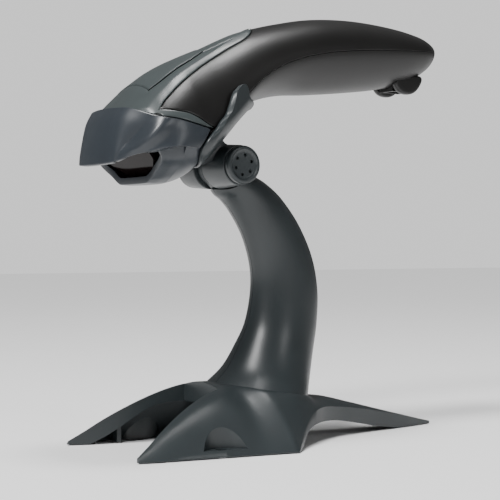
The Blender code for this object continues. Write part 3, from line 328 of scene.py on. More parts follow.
def loft(name, sections):
    """A solid through like outlines, closed at both ends."""
    bm = bmesh.new()
    rings = [[bm.verts.new(place(*p)) for p in section] for section in sections]
    for a, b in zip(rings, rings[1:]):
        for i in range(len(a)):
            j = (i + 1) % len(a)
            bm.faces.new((a[i], a[j], b[j], b[i]))
    bm.faces.new(rings[0])
    bm.faces.new(list(reversed(rings[-1])))
    bm.normal_update()
    bmesh.ops.triangulate(bm, faces=[f for f in bm.faces if len(f.verts) > 4 or not is_flat(f)])
    return add_object(name, mesh_from(bm, name))


def is_flat(face):
    centre, normal = face.calc_center_median(), face.normal
    return max(abs((v.co - centre).dot(normal)) for v in face.verts) < FLATNESS


def rod(name, start, end, radius, end_radius=None, segments=64, rounding=0.0):
    """A round rod between two points, its rims rounded."""
    a, b = Vector(start), Vector(end)
    axis = (b - a).normalized()
    length = (b - a).length
    end_radius = radius if end_radius is None else end_radius
    turn = axis.to_track_quat("Z", "Y").to_matrix()
    profile = [(0.0, radius), (length, end_radius)]
    if rounding:
        arc = [math.radians(t) for t in (0, 22.5, 45, 67.5, 90)]
        inward = [(rounding * (1 - math.sin(t)), rounding * (1 - math.cos(t))) for t in arc]
        profile = [(height, radius - step) for height, step in reversed(inward)]
        profile += [(length - height, end_radius - step) for height, step in inward]
    sections = []
    for height, r in profile:
        ring = []
        for i in range(segments):
            t = math.tau * i / segments
            ring.append(tuple(a + turn @ Vector((r * math.cos(t), r * math.sin(t), height))))
        sections.append(ring)
    return loft(name, sections)


def turned(name, profile, origin, direction, steps):
    """A turned solid from (radius, height) points, first and last on the axis."""
    turn = Vector(direction).to_track_quat("Z", "Y").to_matrix()
    bm = bmesh.new()
    rings = []
    for radius, height in profile:
        count = steps if radius > 0 else 1
        ring = []
        for i in range(count):
            t = math.tau * i / steps
            local = Vector((radius * math.cos(t), radius * math.sin(t), height))
            ring.append(bm.verts.new(place(*(Vector(origin) + turn @ local))))
        rings.append(ring)
    for a, b in zip(rings, rings[1:]):
        for i in range(steps):
            j = (i + 1) % steps
            corners = [a[i % len(a)], a[j % len(a)], b[j % len(b)], b[i % len(b)]]
            bm.faces.new(list(dict.fromkeys(corners)))
    return add_object(name, mesh_from(bm, name))


def box(name, low, high):
    """An upright box between two corners."""
    corners = [(x, y, z) for x in (low[0], high[0]) for y in (low[1], high[1]) for z in (low[2], high[2])]
    return loft(name, [[corners[i] for i in (0, 2, 3, 1)], [corners[i] for i in (4, 6, 7, 5)]])


def plate(name, outline, facing, low, high):
    """A flat outline given thickness: "side" is drawn in Y and Z, "plan" in X and Y."""
    if facing == "side":
        sections = [[(level, u, v) for u, v in outline] for level in (low, high)]
    else:
        sections = [[(u, v, level) for u, v in outline] for level in (low, high)]
    return loft(name, sections)


def boolean(target, tool):
    """Cuts the tool out of the target."""
    change = target.modifiers.new(tool.name, "BOOLEAN")
    change.object, change.operation, change.solver = tool, "DIFFERENCE", "EXACT"
    bake(target)
    bpy.data.objects.remove(tool)


def bake(made):
    """Applies the object's modifiers."""
    bpy.context.view_layer.update()
    graph = bpy.context.evaluated_depsgraph_get()
    mesh = bpy.data.meshes.new_from_object(made.evaluated_get(graph))
    old = made.data
    made.modifiers.clear()
    made.data = mesh
    bpy.data.meshes.remove(old)
    return made


def bevel(made, width, degrees):
    """Rounds the edges that turn by more than the angle."""
    change = made.modifiers.new("bevel", "BEVEL")
    change.width, change.segments = width * MM, BEVEL_SEGMENTS
    change.limit_method, change.angle_limit = "ANGLE", math.radians(degrees)
    change.use_clamp_overlap = True
    return bake(made)


# ---------------------------------------------------------------- scanner skin
SKIN_TOP, SKIN_BOTTOM, SKIN_SIDE_Z, SKIN_HALF = (column(SKIN, i) for i in range(1, 5))
INLAY_HALF, BAND_TOP, BAND_LOW = smooth(INLAY), smooth(BAND_UPPER), smooth(BAND_LOWER)
BUTTON_HALF, INLAY_CREASE_HALF = smooth(BUTTON_ROWS), smooth(INLAY_CREASE)


def skin(y, angle, out):
    """A point of the skin: 90 degrees is the top line, 0 the widest line, -90 the bottom line."""
    side = SKIN_SIDE_Z(y)
    reach = max((SKIN_TOP(y) - side if angle > 0 else side - SKIN_BOTTOM(y)) + out, LEAST_RADIUS)
    c, s = math.cos(math.radians(angle)), math.sin(math.radians(abs(angle)))
    x = max(SKIN_HALF(y) + out, LEAST_RADIUS) * max(c, 0.0) ** (2 / SKIN_POWER)
    return x, y, side + math.copysign(reach * s ** (2 / SKIN_POWER), angle)


def angle_at_half_width(y, half):
    """Angle where the upper skin has the half width."""
    share = min(max(half / SKIN_HALF(y), 0.0), 1.0)
    return math.degrees(math.acos(share ** (SKIN_POWER / 2)))


def angle_at_height(y, z):
    """Angle where the upper skin has the height."""
    side = SKIN_SIDE_Z(y)
    share = min(max((z - side) / (SKIN_TOP(y) - side), 0.0), 1.0)
    return math.degrees(math.asin(share ** (SKIN_POWER / 2)))


def rounded(low, high, count, width, near=True, far=True):
    """Positions from low to high, each with its depth, the ends rounded off."""
    width = min(width, (high - low) / 4)
    a, b = low + width * near, high - width * far
    pairs = [(low + width * share, depth) for share, depth in ROUND[:-1]] if near else [(low, 0.0)]
    middle = spread(a, b, count)
    pairs += [(v, 0.0) for v in (middle if near else middle[1:])]
    if far:
        pairs += [(high - width * share, depth) for share, depth in reversed(ROUND[:-1])]
    return pairs


def rounded_rows(stations):
    """Stations with the rounding added at both ends."""
    first, last = stations[0], stations[-1]
    inside = [(y, 0.0) for y in stations if first + 0.35 < y < last - 0.35]
    ends = ((0.0, -0.3), (0.09, -0.09), (0.3, 0.0))
    front = [(first + y, depth) for y, depth in ends]
    rear = [(last - y, depth) for y, depth in reversed(ends)]
    return front + inside + rear


# ---------------------------------------------------------------- scanner: black housings
TAIL_STATIONS = finer([93.0, 100.0, 104.3, 106.2], 0.7) + [106.4, 106.5, 106.6]


def upper_edges(y):
    """Low and high angle of the top shell; it is open over the inlay."""
    high = angle_at_half_width(y, INLAY_HALF(y) + 2 * LINE) if y < INLAY_TIP_Y else 89.0
    at_band = angle_at_height(y, BAND_TOP(y) + 2 * LINE)
    share = min(max((y - BAND_END_Y) / 8.0, 0.0), 1.0)
    return (1 - share) * at_band + share * SEAM_ANGLE, max(high, at_band + 0.4)


def upper_housing():
    """Black top of the scanner, open where the inlay lies."""
    stations = finer([-43.9, -40.0, -23.0, -15.0, 7.0, 11.4], 1.2)
    stations += finer([11.8, 12.2, 12.5], 0.2) + finer([14.0, 30.0, 60.0, 92.0], 2.4) + TAIL_STATIONS
    outer, inner, holes = [], [], set()
    for i, y in enumerate(stations):
        row_depth = ROUND[0][1] if i == 0 else 0.0
        low, high = upper_edges(y)
        is_open = y < INLAY_TIP_Y
        middle = (low + high) / 2
        columns = rounded(low, high, 24, EDGE_ANGLE)
        pairs = [(a, depth if a < middle or is_open else 0.0) for a, depth in columns] + [(90.0, 0.0)]
        outer.append([skin(y, a, min(depth, row_depth)) for a, depth in pairs])
        inner.append([skin(y, a, -HOUSING_WALL) for a, _ in pairs])
        if is_open:
            holes.add((i, len(pairs) - 2))
    return slab("upper_housing_skin", outer, inner, holes)


def lower_skin(name, stations, top_angle):
    """The skin from the given angle round under the bottom line."""
    pairs = [(-a, depth) for a, depth in rounded(-top_angle, 90.0, 24, EDGE_ANGLE, far=False)]
    outer = [[skin(y, a, depth) for a, depth in pairs] for y in stations]
    inner = [[skin(y, a, -HOUSING_WALL) for a, _ in pairs] for y in stations]
    return slab(name, outer, inner)


def lower_housing():
    """Black underside of the scanner, behind the mouth."""
    stations = finer([CHIN_REAR_Y, -15.0, 7.0], 1.3) + finer([9.0, 30.0, 60.0, 92.0], 2.4) + TAIL_STATIONS
    return lower_skin("lower_housing_skin", stations, -SEAM_ANGLE)


def chin():
    """Gray skin from the jaw back to the cup."""
    return lower_skin("chin", finer([-35.4, CHIN_REAR_Y], 0.8), -10.0)


def ear(side):
    """A rounded lobe beside the cable socket."""
    sections = []
    middle_y, middle_z = EAR_MIDDLE
    for share, x in EAR_LEVELS:
        ring = [(side * (EAR_X + x), middle_y + (y - middle_y) * share, middle_z + (z - middle_z) * share)
                for y, z in EAR_PROFILE]
        sections.append(ring)
    made = loft(f"socket_ear_{'left' if side < 0 else 'right'}", sections)
    soft = made.modifiers.new("soft", "SUBSURF")
    soft.levels = soft.render_levels = 2
    bake(made)
    shade(made.data, 60)
    return made


# ---------------------------------------------------------------- scanner: visor, jaw, inlay, button
def net_surface(lines, across, along, mirrored_first=False):
    """Points of a smooth surface through a net of lines, at positions across the lines and along each."""
    count = len(lines)
    ladder = [[smooth([(k, line[k][i]) for k in range(len(line))]) for i in range(3)] for line in lines]
    rows = []
    for v in along:
        points = [[f(v) for f in one] for one in ladder]
        if mirrored_first:
            points = [[-p[0], p[1], p[2]] for p in reversed(points[1:])] + points
        offset = count - 1 if mirrored_first else 0
        bends = [smooth([(k - offset, p[i]) for k, p in enumerate(points)]) for i in range(3)]
        rows.append([tuple(f(u) for f in bends) for u in across])
    return rows


def pushed(rows, depths):
    """The rows of points moved along the surface normal; depths holds one value per row and column."""
    grid = np.array(rows, float)
    du = np.gradient(grid, axis=1)
    dv = np.gradient(grid, axis=0)
    normal = np.cross(du, dv)
    length = np.linalg.norm(normal, axis=2, keepdims=True)
    normal = normal / np.maximum(length, 1e-9)
    middle = grid.mean(axis=(0, 1))
    flip = np.sign(np.sum(normal * (grid - np.array((0.0, middle[1] + 15.0, middle[2]))), axis=2).mean())
    moved = grid + flip * normal * np.array(depths)[:, :, None]
    moved[:, :, 0][np.abs(grid[:, :, 0]) < 1e-9] = 0.0
    return [[tuple(p) for p in row] for row in moved]


def nose_bezel():
    """Visor with a cheek down each side, creased along the line where they meet."""
    along = [0.0, 0.02, 0.07, *spread(0.2, 3.8, 19), 3.9, 3.96, 4.0]
    edge = {0: -0.3, 1: -0.09, len(along) - 1: -0.25, len(along) - 2: -0.07}
    front = net_surface(VISOR[:4], spread(0, 3, 37), along, mirrored_first=True)
    cheek = net_surface(VISOR[3:], spread(0, 4, 33), along)
    rows = [list(reversed(b[1:])) + list(reversed(a)) for a, b in zip(front, cheek)]
    depths = [[edge.get(i, 0.0)] * len(rows[0]) for i in range(len(rows))]
    for row in depths:
        row[0], row[1] = min(row[0], -0.25), min(row[1], -0.06)
    outer = pushed(rows, depths)
    inner = pushed(rows, [[-VISOR_WALL] * len(rows[0])] * len(rows))
    made = slab("visor", outer, inner)
    shade(made.data, VISOR_SHARP_ANGLE)
    return made


def light_baffle():
    """Dark bulkhead behind the window that follows the skin."""
    sections = []
    for y in (-35.8, -35.2):
        right = [skin(y, a, -1.4 if a < 35.0 else -5.0) for a in spread(-89.0, 89.0, 61)]
        sections.append(right + [(-x, y, z) for x, y, z in reversed(right)])
    return loft("light_baffle", sections)


def window_frame():
    """Jaw round the lower half of the exit window."""
    across = [0.0, 0.03, 0.1, *spread(0.25, 1.9, 8), 1.97, 2.0]
    lines = list(zip(JAW_FRONT, JAW_MIDDLE, JAW_REAR))
    rows = net_surface(lines, spread(0, 5, 46), across, mirrored_first=True)
    rows = [list(reversed(row)) for row in rows]
    depths = [[{0: -0.45, 1: -0.12}.get(i, 0.0)] * len(rows[0]) for i in range(len(rows))]
    outer = pushed(rows, depths)
    inner = pushed(rows, [[-JAW_WALL] * len(rows[0])] * len(rows))
    return slab("jaw", outer, inner)


def inlay_columns(y, button):
    """Angles and depths over the inlay's flank, chamfer and crease, up to the trigger button's edge."""
    behind_front = y > BAND_FRONT_Y
    half = max(INLAY_HALF(y), 0.3)
    edge = angle_at_half_width(y, half)
    low_z = BAND_LOW(y) + 2 * LINE if behind_front else np.interp(y, *INLAY_FRONT_Z)
    low = angle_at_height(y, low_z)
    if y < -44.4:
        low = min(low, edge - 0.6)
    high = max(min(angle_at_height(y, BAND_TOP(y)), edge - 0.3), low + 0.2)
    crease = angle_at_half_width(y, min(float(INLAY_CREASE_HALF(y)), half * 0.92))
    crease = min(max(crease, edge + 0.8), button - 0.8)
    rise = CREASE_RISE * min(max((y + 53.0) / 5.0, 0.0), 1.0)
    pairs = rounded(low, high, 7, EDGE_ANGLE)
    chamfer = rounded(edge, crease, 6, EDGE_ANGLE, far=False)
    for a, depth in chamfer + rounded(crease, button, 7, EDGE_ANGLE, near=False)[1:]:
        share = (a - edge) / (crease - edge) if a <= crease else (button - a) / (button - crease)
        pairs.append((a, (depth if behind_front else 0.0) + rise * share))
    return pairs if y >= BAND_FRONT_Y else [(a, max(depth, 0.0)) for a, depth in pairs]


def inlay():
    """Light inlay from the visor's edge to its tip, with the collar band down each side."""
    stations = finer([-53.3, -50.9, -46.2], 0.6)[:-1] + finer([-46.2, -44.2, -43.0, -38.0, -22.5], 0.6)
    stations += finer([-21.9, -13.5, 0.0, 9.0], 1.2) + finer([9.6, 11.4, 12.1], 0.3)
    outer, inner, holes = [], [], set()
    for i, y in enumerate(stations):
        half = max(INLAY_HALF(y), 0.3)
        button = angle_at_half_width(y, min(float(BUTTON_HALF(y)) + LINE, half * 0.86))
        pairs = inlay_columns(y, button)
        top_columns = len(pairs)
        pairs += [(a, 0.0) for a in spread(button, 90.0, 12)[1:]]
        outer.append([skin(y, a, depth) for a, depth in pairs])
        walls = [INLAY_WALL if a < button - 2.5 else BUTTON_LEDGE for a, _ in pairs]
        inner.append([skin(y, a, depth - wall) for (a, depth), wall in zip(pairs, walls)])
        if y >= BAND_FRONT_Y:
            holes.add((i, BAND_COLUMNS))
        if y >= -22.5:
            holes |= {(i, k) for k in range(BAND_COLUMNS)}
        if BUTTON_ROWS[0][0] - 0.3 <= y < BUTTON_ROWS[-1][0]:
            holes |= {(i, k) for k in range(top_columns - 1, len(pairs) - 1)}
    return slab("inlay", outer, inner, holes)


def trigger_button():
    """Raised cap in the front part of the inlay."""
    stations = spread(BUTTON_ROWS[0][0] + 0.35, BUTTON_ROWS[-1][0] - 0.35, 30)
    outer, inner = [], []
    for y, row_depth in rounded_rows(stations):
        edge = angle_at_half_width(y, BUTTON_HALF(y) - 1.8 * LINE)
        pairs = rounded(edge, 90.0, 14, EDGE_ANGLE, far=False)
        outer.append([skin(y, a, 0.3 + min(depth, row_depth)) for a, depth in pairs])
        inner.append([(x * 0.94, along, z) for x, along, z in (skin(y, a, -1.0) for a, _ in pairs)])
    return slab("button_cap", outer, inner)


# ---------------------------------------------------------------- cup and pivot
def cradle():
    """The cup's curved plate with its two wings."""
    bends = [smooth([(k, row[i]) for k, row in enumerate(CUP_COLUMNS)]) for i in range(3)]
    outer, inner = [], []
    for position, depth in rounded(0.0, 11.0, 64, 0.12, far=False):
        level, front, rear = (f(position) for f in bends)
        row_out, row_in = [], []
        for share, edge_depth in rounded(0.0, 1.0, 26, 0.02):
            y = front + (rear - front) * share
            drop = min(depth, edge_depth) * 2.2
            wall = CUP_WALL * (EDGE_SHARE + (1 - EDGE_SHARE) * min(share / EDGE_REACH, 1.0))
            for target, out in ((row_in, CUP_CLEAR), (row_out, CUP_CLEAR + wall + drop)):
                if level > 0:
                    target.append((SKIN_HALF(y) + out, y, SKIN_SIDE_Z(y) + level))
                else:
                    target.append(skin(y, level, out))
        outer.append(row_out)
        inner.append(row_in)
    turned_rows = [[row[k] for row in outer] for k in range(len(outer[0]))]
    turned_inner = [[row[k] for row in inner] for k in range(len(inner[0]))]
    return slab("cup_cradle", turned_rows, turned_inner)


def arc(centre_u, centre_v, radius, start, end, count):
    """Points along a circle between two angles in degrees."""
    return [(centre_u + radius * math.cos(math.radians(t)), centre_v + radius * math.sin(math.radians(t)))
            for t in spread(start, end, count)]


def lug(side):
    """Bracket from the cradle to the barrel on one side of the slot."""
    outline = [(-19.0, 111.4), *arc(PIVOT_Y, PIVOT_Z, BARREL_RADIUS - 1.6, 165, 440, 44), (-6.6, 121.2),
               (-8.0, 122.8)]
    low, high = sorted((side * (SLOT_HALF + GAP), side * LUG_END_X))
    made = bevel(plate(f"cup_lug_{'left' if side < 0 else 'right'}", outline, "side", low, high), 0.5, 50)
    shade(made.data)
    return made


def barrel(side):
    """One half of the split pivot barrel."""
    made = rod(f"pivot_barrel_{'left' if side < 0 else 'right'}", (side * SLOT_HALF, PIVOT_Y, PIVOT_Z),
               (side * BARREL_END_X, PIVOT_Y, PIVOT_Z), BARREL_RADIUS, BARREL_RADIUS - 1.0, ROUND_STEPS, 0.4)
    boolean(made, rod("end", (side * 10.5, PIVOT_Y, PIVOT_Z), (side * 20, PIVOT_Y, PIVOT_Z), CAP_BORE_RADIUS))
    boolean(made, rod("hole", (-20, PIVOT_Y, PIVOT_Z), (20, PIVOT_Y, PIVOT_Z), BOLT_RADIUS))
    shade(made.data)
    return made


def disc_cap():
    """Flat cap with a raised rim and a ring of six dimples."""
    profile = ((0, 2.35), (4.9, 2.35), (5.5, 2.45), (5.9, 2.75), (6.2, 3.0), (6.9, 3.0), (7.25, 2.85),
               (7.5, 2.5), (7.6, 2.1), (7.6, 0.8), (7.45, 0.3), (7.1, 0), (5.0, 0), (5.0, -3.2), (0, -3.2))
    seat = (BARREL_END_X + CAP_CLEAR, PIVOT_Y, PIVOT_Z)
    made = turned("pivot_disc_cap", profile, seat, (1, 0, 0), ROUND_STEPS)
    for i in range(6):
        turn = math.radians(60 * i + 20)
        y, z = PIVOT_Y + DIMPLE_RING * math.cos(turn), PIVOT_Z + DIMPLE_RING * math.sin(turn)
        boolean(made, rod(f"dimple {i}", (19.0, y, z), (22, y, z), DIMPLE_RADIUS, segments=20))
    shade(made.data)
    return made


def dome_cap():
    """Low domed cap on the other end of the barrel."""
    radius, height = DOME_SIZE
    steps = [math.radians(t) for t in range(0, 91, 6)]
    profile = [(radius * math.sin(t), height * math.cos(t)) for t in steps]
    profile += [(5.0, -0.05), (5.0, -3.2), (0, -3.2)]
    seat = (-BARREL_END_X - CAP_CLEAR, PIVOT_Y, PIVOT_Z)
    made = turned("pivot_dome_cap", profile, seat, (-1, 0, 0), ROUND_STEPS)
    shade(made.data)
    return made


# ---------------------------------------------------------------- arm
def arm_half(side):
    """One curved half of the arm, hollowed round the pivot barrel at its top."""
    bends = [smooth([(k, row[i]) for k, row in enumerate(ARM)]) for i in range(5)]
    sections = []
    for position in spread(0, len(ARM) - 1, 81):
        y0, z0, tilt, depth, width = (f(position) for f in bends)
        lean = math.radians(tilt)
        ring = []
        for t in spread(-90, 90, 33):
            u = depth * math.sin(math.radians(t))
            x = max(width * math.cos(math.radians(t)), LINE * 0.7)
            ring.append((side * x, y0 + u * math.cos(lean), z0 + u * math.sin(lean)))
        sections.append(ring)
    made = loft(f"arm_{'left' if side < 0 else 'right'}", sections)
    saddle = rod("saddle", (side * -1, PIVOT_Y, PIVOT_Z), (side * 30, PIVOT_Y, PIVOT_Z), BARREL_RADIUS + 0.3,
                 segments=128)
    boolean(made, saddle)
    shade(made.data)
    return made


def tongue(side):
    """Half of the arm's tongue, which stands in the slot of the barrel."""
    aim = math.degrees(math.atan2(102.0 - PIVOT_Z, 9.5 - PIVOT_Y))
    end = arc(PIVOT_Y, PIVOT_Z, TONGUE_RADIUS, aim + 90, aim + 270, 40)
    reach = Vector((math.cos(math.radians(aim)), math.sin(math.radians(aim)))) * 16.0
    tail = [(end[-1][0] + reach.x, end[-1][1] + reach.y), (end[0][0] + reach.x, end[0][1] + reach.y)]
    low, high = sorted((side * 0.12, side * TONGUE_HALF))
    made = plate(f"arm_tongue_{'left' if side < 0 else 'right'}", end + tail, "side", low, high)
    shade(made.data)
    return made


# ---------------------------------------------------------------- base
BASE_BENDS = [column(BASE, i) for i in range(1, 7)]


def base_section(y, inset=0.0, floor=BASE_RIM_Z):
    """Outline of the base across one station, made smaller by the inset."""
    edge, middle_z, edge_z, half, lip, power = (f(y) for f in BASE_BENDS)
    middle_z, edge_z, half, lip = middle_z - inset, edge_z - inset, half - inset, lip - inset
    edge = min(edge, half - 0.4)
    right = [(edge * s, middle_z + (edge_z - middle_z) * s * s) for s in spread(0.25, 1.0, 4)]
    flank = spread(0, 1, 17)[1:]
    right += [(edge + (half - edge) * t, lip + (edge_z - lip) * (1 - t ** power)) for t in flank]
    right = [(x, max(z, floor + 0.1)) for x, z in right]
    left = [(-x, z) for x, z in reversed(right)]
    top = [(x, y, z) for x, z in [*left, (0, max(middle_z, floor + 0.1)), *right]]
    return top + [(half, y, floor), (-half, y, floor)]


def notch_edge(y):
    """Half width of the notch between the toes."""
    return float(np.interp(y, [row[0] for row in BASE[:6]], [row[1] for row in BASE[:6]]))


def notch_outline(out):
    """Plan of the notch between the toes, made wider by the given distance."""
    edge = smooth([(row[0], row[1] + out) for row in BASE[:6]])
    front = [(29.0 + out, -60.0)] + [(edge(y), y) for y in finer([-56.5, -11.7 + out], 1.5)]
    return front + [(-x, y) for x, y in reversed(front)]


def upright(name, x, y, radius, low=BELOW_BASE, high=ABOVE_BASE, segments=64):
    """An upright round cutter."""
    return rod(name, (x, y, low), (x, y, high), radius, segments=segments)


def base_hollow():
    """The space under the base, kept away from the notch, the pockets, the ribs and the side pads."""
    stations = finer([-45.0, -30.0, 0.0, 40.0, 86.0], 3.0)
    hollow = loft("base hollow", [base_section(y, BASE_WALL, -1.0) for y in stations])
    for side in (-1, 1):
        boolean(hollow, upright("pocket wall", side * POCKET_X, POCKET_Y, POCKET_RADIUS + 1.8))
        low, high = sorted((0, side * 40))
        boolean(hollow, box("toe rib", (low, -36.8, -5), (high, -35.2, ABOVE_BASE)))
        boolean(hollow, upright("pad post", side * 34, 2.5, 5.2, segments=28))
    boolean(hollow, plate("notch wall", notch_outline(NOTCH_WALL), "plan", BELOW_BASE, 50))
    return hollow


def under_cutter(name, rows):
    """A cutter from below the base up to a height; rows hold y, the two sides and the height."""
    sections = []
    for y, near, far, top in rows:
        sections.append([(near, y, BELOW_BASE), (far, y, BELOW_BASE), (far, y, top), (near, y, top)])
    return loft(name, sections)


def base_shell():
    """Thin moulded base with two toes, a tail, lifted arches and a screw pocket in each side."""
    made = loft("base_cover", [base_section(y) for y in finer([row[0] for row in BASE], 1.6)])
    boolean(made, base_hollow())
    boolean(made, plate("notch", notch_outline(0.2), "plan", BELOW_BASE, 50))
    rise = smooth(NOTCH_CLEARANCE[::-1])
    rows = []
    for y in finer([-48.0, -8.4], 1.5):
        half = notch_edge(y) + 3.4
        rows.append((y, -half, half, rise(y)))
    boolean(made, under_cutter("notch arch", rows))
    rise, half_width = smooth(ARCH_CLEARANCE), BASE_BENDS[3]
    for side in (-1, 1):
        rows = []
        for y in finer([9.5, 22.0, 86.0], 1.5):
            rows.append((y, side * (half_width(y) - 3.3), side * (half_width(y) + 8), rise(y)))
        boolean(made, under_cutter("rear arch", rows))
        boolean(made, upright("pocket", side * POCKET_X, POCKET_Y, POCKET_RADIUS, POCKET_FLOOR, segments=96))
        screw_x = side * COUNTER_SCREW_X
        boolean(made, upright("counter screw hole", screw_x, POCKET_Y, 2.2, -2, 6, segments=28))
    shade(made.data, 30)
    return made


# ---------------------------------------------------------------- materials
SLOW_SCALE = 38.0                     # waves per metre of the slow change in colour and roughness
ROUGH_SPREAD, LEAST_ROUGH = 0.05, 0.02
RELIEF = 0.0001                       # depth of the grain, metres


def new_material(name, colour, rough, bump=0.0, grain=0.35, metal=0.0, shine=0.5, vary=0.10):
    """Moulded finish: fine grain in the bump, slow change in colour and roughness."""
    made = bpy.data.materials.new(name)
    made.use_nodes = True
    tree = made.node_tree
    shader = tree.nodes["Principled BSDF"]
    shader.inputs["Metallic"].default_value = metal
    shader.inputs["Specular IOR Level"].default_value = shine
    where = tree.nodes.new("ShaderNodeTexCoord")
    slow = tree.nodes.new("ShaderNodeTexNoise")
    slow.inputs["Scale"].default_value = SLOW_SCALE
    slow.inputs["Detail"].default_value = 5.0
    tree.links.new(where.outputs["Object"], slow.inputs["Vector"])
    colours = tree.nodes.new("ShaderNodeValToRGB")
    for stop, factor in zip(colours.color_ramp.elements, (1 - vary, 1 + vary)):
        stop.color = (*[min(c * factor, 1.0) for c in colour], 1.0)
    colours.color_ramp.elements[0].position, colours.color_ramp.elements[1].position = 0.3, 0.7
    tree.links.new(slow.outputs["Fac"], colours.inputs["Fac"])
    tree.links.new(colours.outputs["Color"], shader.inputs["Base Color"])
    gloss = tree.nodes.new("ShaderNodeMapRange")
    gloss.inputs["To Min"].default_value = max(rough - ROUGH_SPREAD, LEAST_ROUGH)
    gloss.inputs["To Max"].default_value = rough + ROUGH_SPREAD
    tree.links.new(slow.outputs["Fac"], gloss.inputs["Value"])
    tree.links.new(gloss.outputs["Result"], shader.inputs["Roughness"])
    if bump:
        fine = tree.nodes.new("ShaderNodeTexNoise")
        fine.inputs["Scale"].default_value = 1000.0 / grain
        fine.inputs["Detail"].default_value = 2.0
        tree.links.new(where.outputs["Object"], fine.inputs["Vector"])
        relief = tree.nodes.new("ShaderNodeBump")
        relief.inputs["Strength"].default_value = bump
        relief.inputs["Distance"].default_value = RELIEF
        tree.links.new(fine.outputs["Fac"], relief.inputs["Height"])
        tree.links.new(relief.outputs["Normal"], shader.inputs["Normal"])
    return made


LOOKS = {
    "slate_plastic": new_material("slate_plastic", (0.019, 0.024, 0.026), 0.34, bump=0.25, grain=0.55),
    "black_plastic": new_material("black_plastic", (0.0042, 0.0039, 0.0037), 0.37, bump=0.28, grain=0.5),
    "visor_plastic": new_material("visor_plastic", (0.022, 0.027, 0.033), 0.34, bump=0.12, grain=0.4),
    "trim_plastic": new_material("trim_plastic", (0.040, 0.049, 0.050), 0.34, bump=0.12, grain=0.4),
    "window_glass": new_material("window_glass", (0.006, 0.004, 0.004), 0.10, shine=0.06, vary=0.3),
    "lens_plastic": new_material("lens_plastic", (0.55, 0.60, 0.62), 0.20),
    "rubber": new_material("rubber", (0.020, 0.020, 0.021), 0.80, bump=0.3, grain=0.8),
    "steel": new_material("steel", (0.42, 0.43, 0.44), 0.32, metal=1.0, bump=0.1),
    "circuit_board": new_material("circuit_board", (0.020, 0.110, 0.050), 0.42, bump=0.1),
    "chip": new_material("chip", (0.018, 0.018, 0.020), 0.42, bump=0.2),
    "brass": new_material("brass", (0.55, 0.40, 0.15), 0.30, metal=1.0, bump=0.1),
    "mirror": new_material("mirror", (0.80, 0.82, 0.84), 0.05, metal=1.0),
}


def dress(made, look):
    """Puts one finish on a piece."""
    made.data.materials.clear()
    made.data.materials.append(LOOKS[look])


def piece(made, look, body, *nodes):
    """Gives a piece its finish and body, and hides the nodes that it stands for."""
    dress(made, look)
    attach(made, body)
    if nodes:
        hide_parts(*nodes)
    return made


for row in frame["record"]["subparts"]:
    node = NODES[row["node"]]
    node.data.materials.clear()
    node.data.materials.append(LOOKS[row["material_slot"]])

piece(upper_housing(), "black_plastic", "scanner", "upper_housing")
piece(lower_housing(), "black_plastic", "scanner", "lower_housing")
piece(chin(), "visor_plastic", "scanner")
piece(ear(-1), "black_plastic", "scanner")
piece(ear(1), "black_plastic", "scanner")
piece(nose_bezel(), "visor_plastic", "scanner", "nose_bezel")
piece(window_frame(), "visor_plastic", "scanner", "window_frame")
piece(inlay(), "trim_plastic", "scanner", "top_trim")
piece(trigger_button(), "trim_plastic", "button", "trigger_button")
piece(light_baffle(), "black_plastic", "scanner")
piece(cradle(), "slate_plastic", "cup", "cup")
for sign in (-1, 1):
    piece(lug(sign), "slate_plastic", "cup")
    piece(barrel(sign), "slate_plastic", "cup")
piece(disc_cap(), "slate_plastic", "cup", "pivot_disc")
piece(dome_cap(), "slate_plastic", "cup", "pivot_dome")
piece(arm_half(-1), "slate_plastic", "stand", "arm_left_shell")
piece(arm_half(1), "slate_plastic", "stand", "arm_right_shell")
piece(tongue(-1), "slate_plastic", "stand")
piece(tongue(1), "slate_plastic", "stand")
piece(base_shell(), "slate_plastic", "stand", "base_shell")


# ---------------------------------------------------------------- stage
FLOOR_HALF = 3.0                      # metres


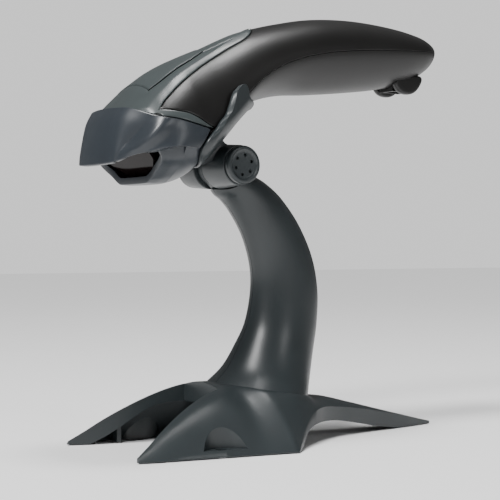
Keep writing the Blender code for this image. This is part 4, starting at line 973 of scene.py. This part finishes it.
def stage():
    """A plain pale floor."""
    bm = bmesh.new()
    corners = ((-1, -1), (1, -1), (1, 1), (-1, 1))
    bm.faces.new([bm.verts.new((x * FLOOR_HALF, y * FLOOR_HALF, 0.0)) for x, y in corners])
    mesh = bpy.data.meshes.new("floor")
    bm.to_mesh(mesh)
    bm.free()
    floor = add_object("floor", mesh)
    look = bpy.data.materials.new("pale_floor")
    look.use_nodes = True
    shader = look.node_tree.nodes["Principled BSDF"]
    shader.inputs["Base Color"].default_value = (0.9, 0.9, 0.9, 1.0)
    shader.inputs["Roughness"].default_value = 0.6
    mesh.materials.append(look)


def area_light(name, position, target, size, energy):
    """A square softbox that faces the target, in metres and watts."""
    data = bpy.data.lights.new(name, "AREA")
    data.energy, data.size = energy, size
    light = bpy.data.objects.new(name, data)
    bpy.context.scene.collection.objects.link(light)
    light.location = position
    light.rotation_euler = (Vector(target) - Vector(position)).to_track_quat("-Z", "Y").to_euler()


def studio_world(lit, seen):
    """A dim surround that lights the scene, and the brighter backdrop that is seen behind it."""
    world = bpy.data.worlds.new("studio")
    bpy.context.scene.world = world
    world.use_nodes = True
    tree = world.node_tree
    background = tree.nodes["Background"]
    background.inputs["Color"].default_value = (1.0, 1.0, 1.0, 1.0)
    path = tree.nodes.new("ShaderNodeLightPath")
    level = tree.nodes.new("ShaderNodeMapRange")
    level.inputs["To Min"].default_value, level.inputs["To Max"].default_value = lit, seen
    tree.links.new(path.outputs["Is Camera Ray"], level.inputs["Value"])
    tree.links.new(level.outputs["Result"], background.inputs["Strength"])


def sun_light(name, direction, strength, spread_degrees):
    """A wide soft light from far away."""
    data = bpy.data.lights.new(name, "SUN")
    data.energy, data.angle = strength, math.radians(spread_degrees)
    light = bpy.data.objects.new(name, data)
    bpy.context.scene.collection.objects.link(light)
    light.rotation_euler = Vector(direction).to_track_quat("-Z", "Y").to_euler()


stage()
studio_world(0.16, 0.97)
sun_light("overhead", (-0.15, 0.50, -0.85), 3.3, 16.0)
area_light("key", (0.42, -0.62, 0.70), (0, -0.05, 0.12), 0.18, 6.0)
area_light("top", (0.0, 0.10, 1.0), (0, 0, 0.12), 0.20, 4.5)
area_light("side", (0.85, 0.25, 0.45), (0, 0, 0.1), 0.12, 0.8)
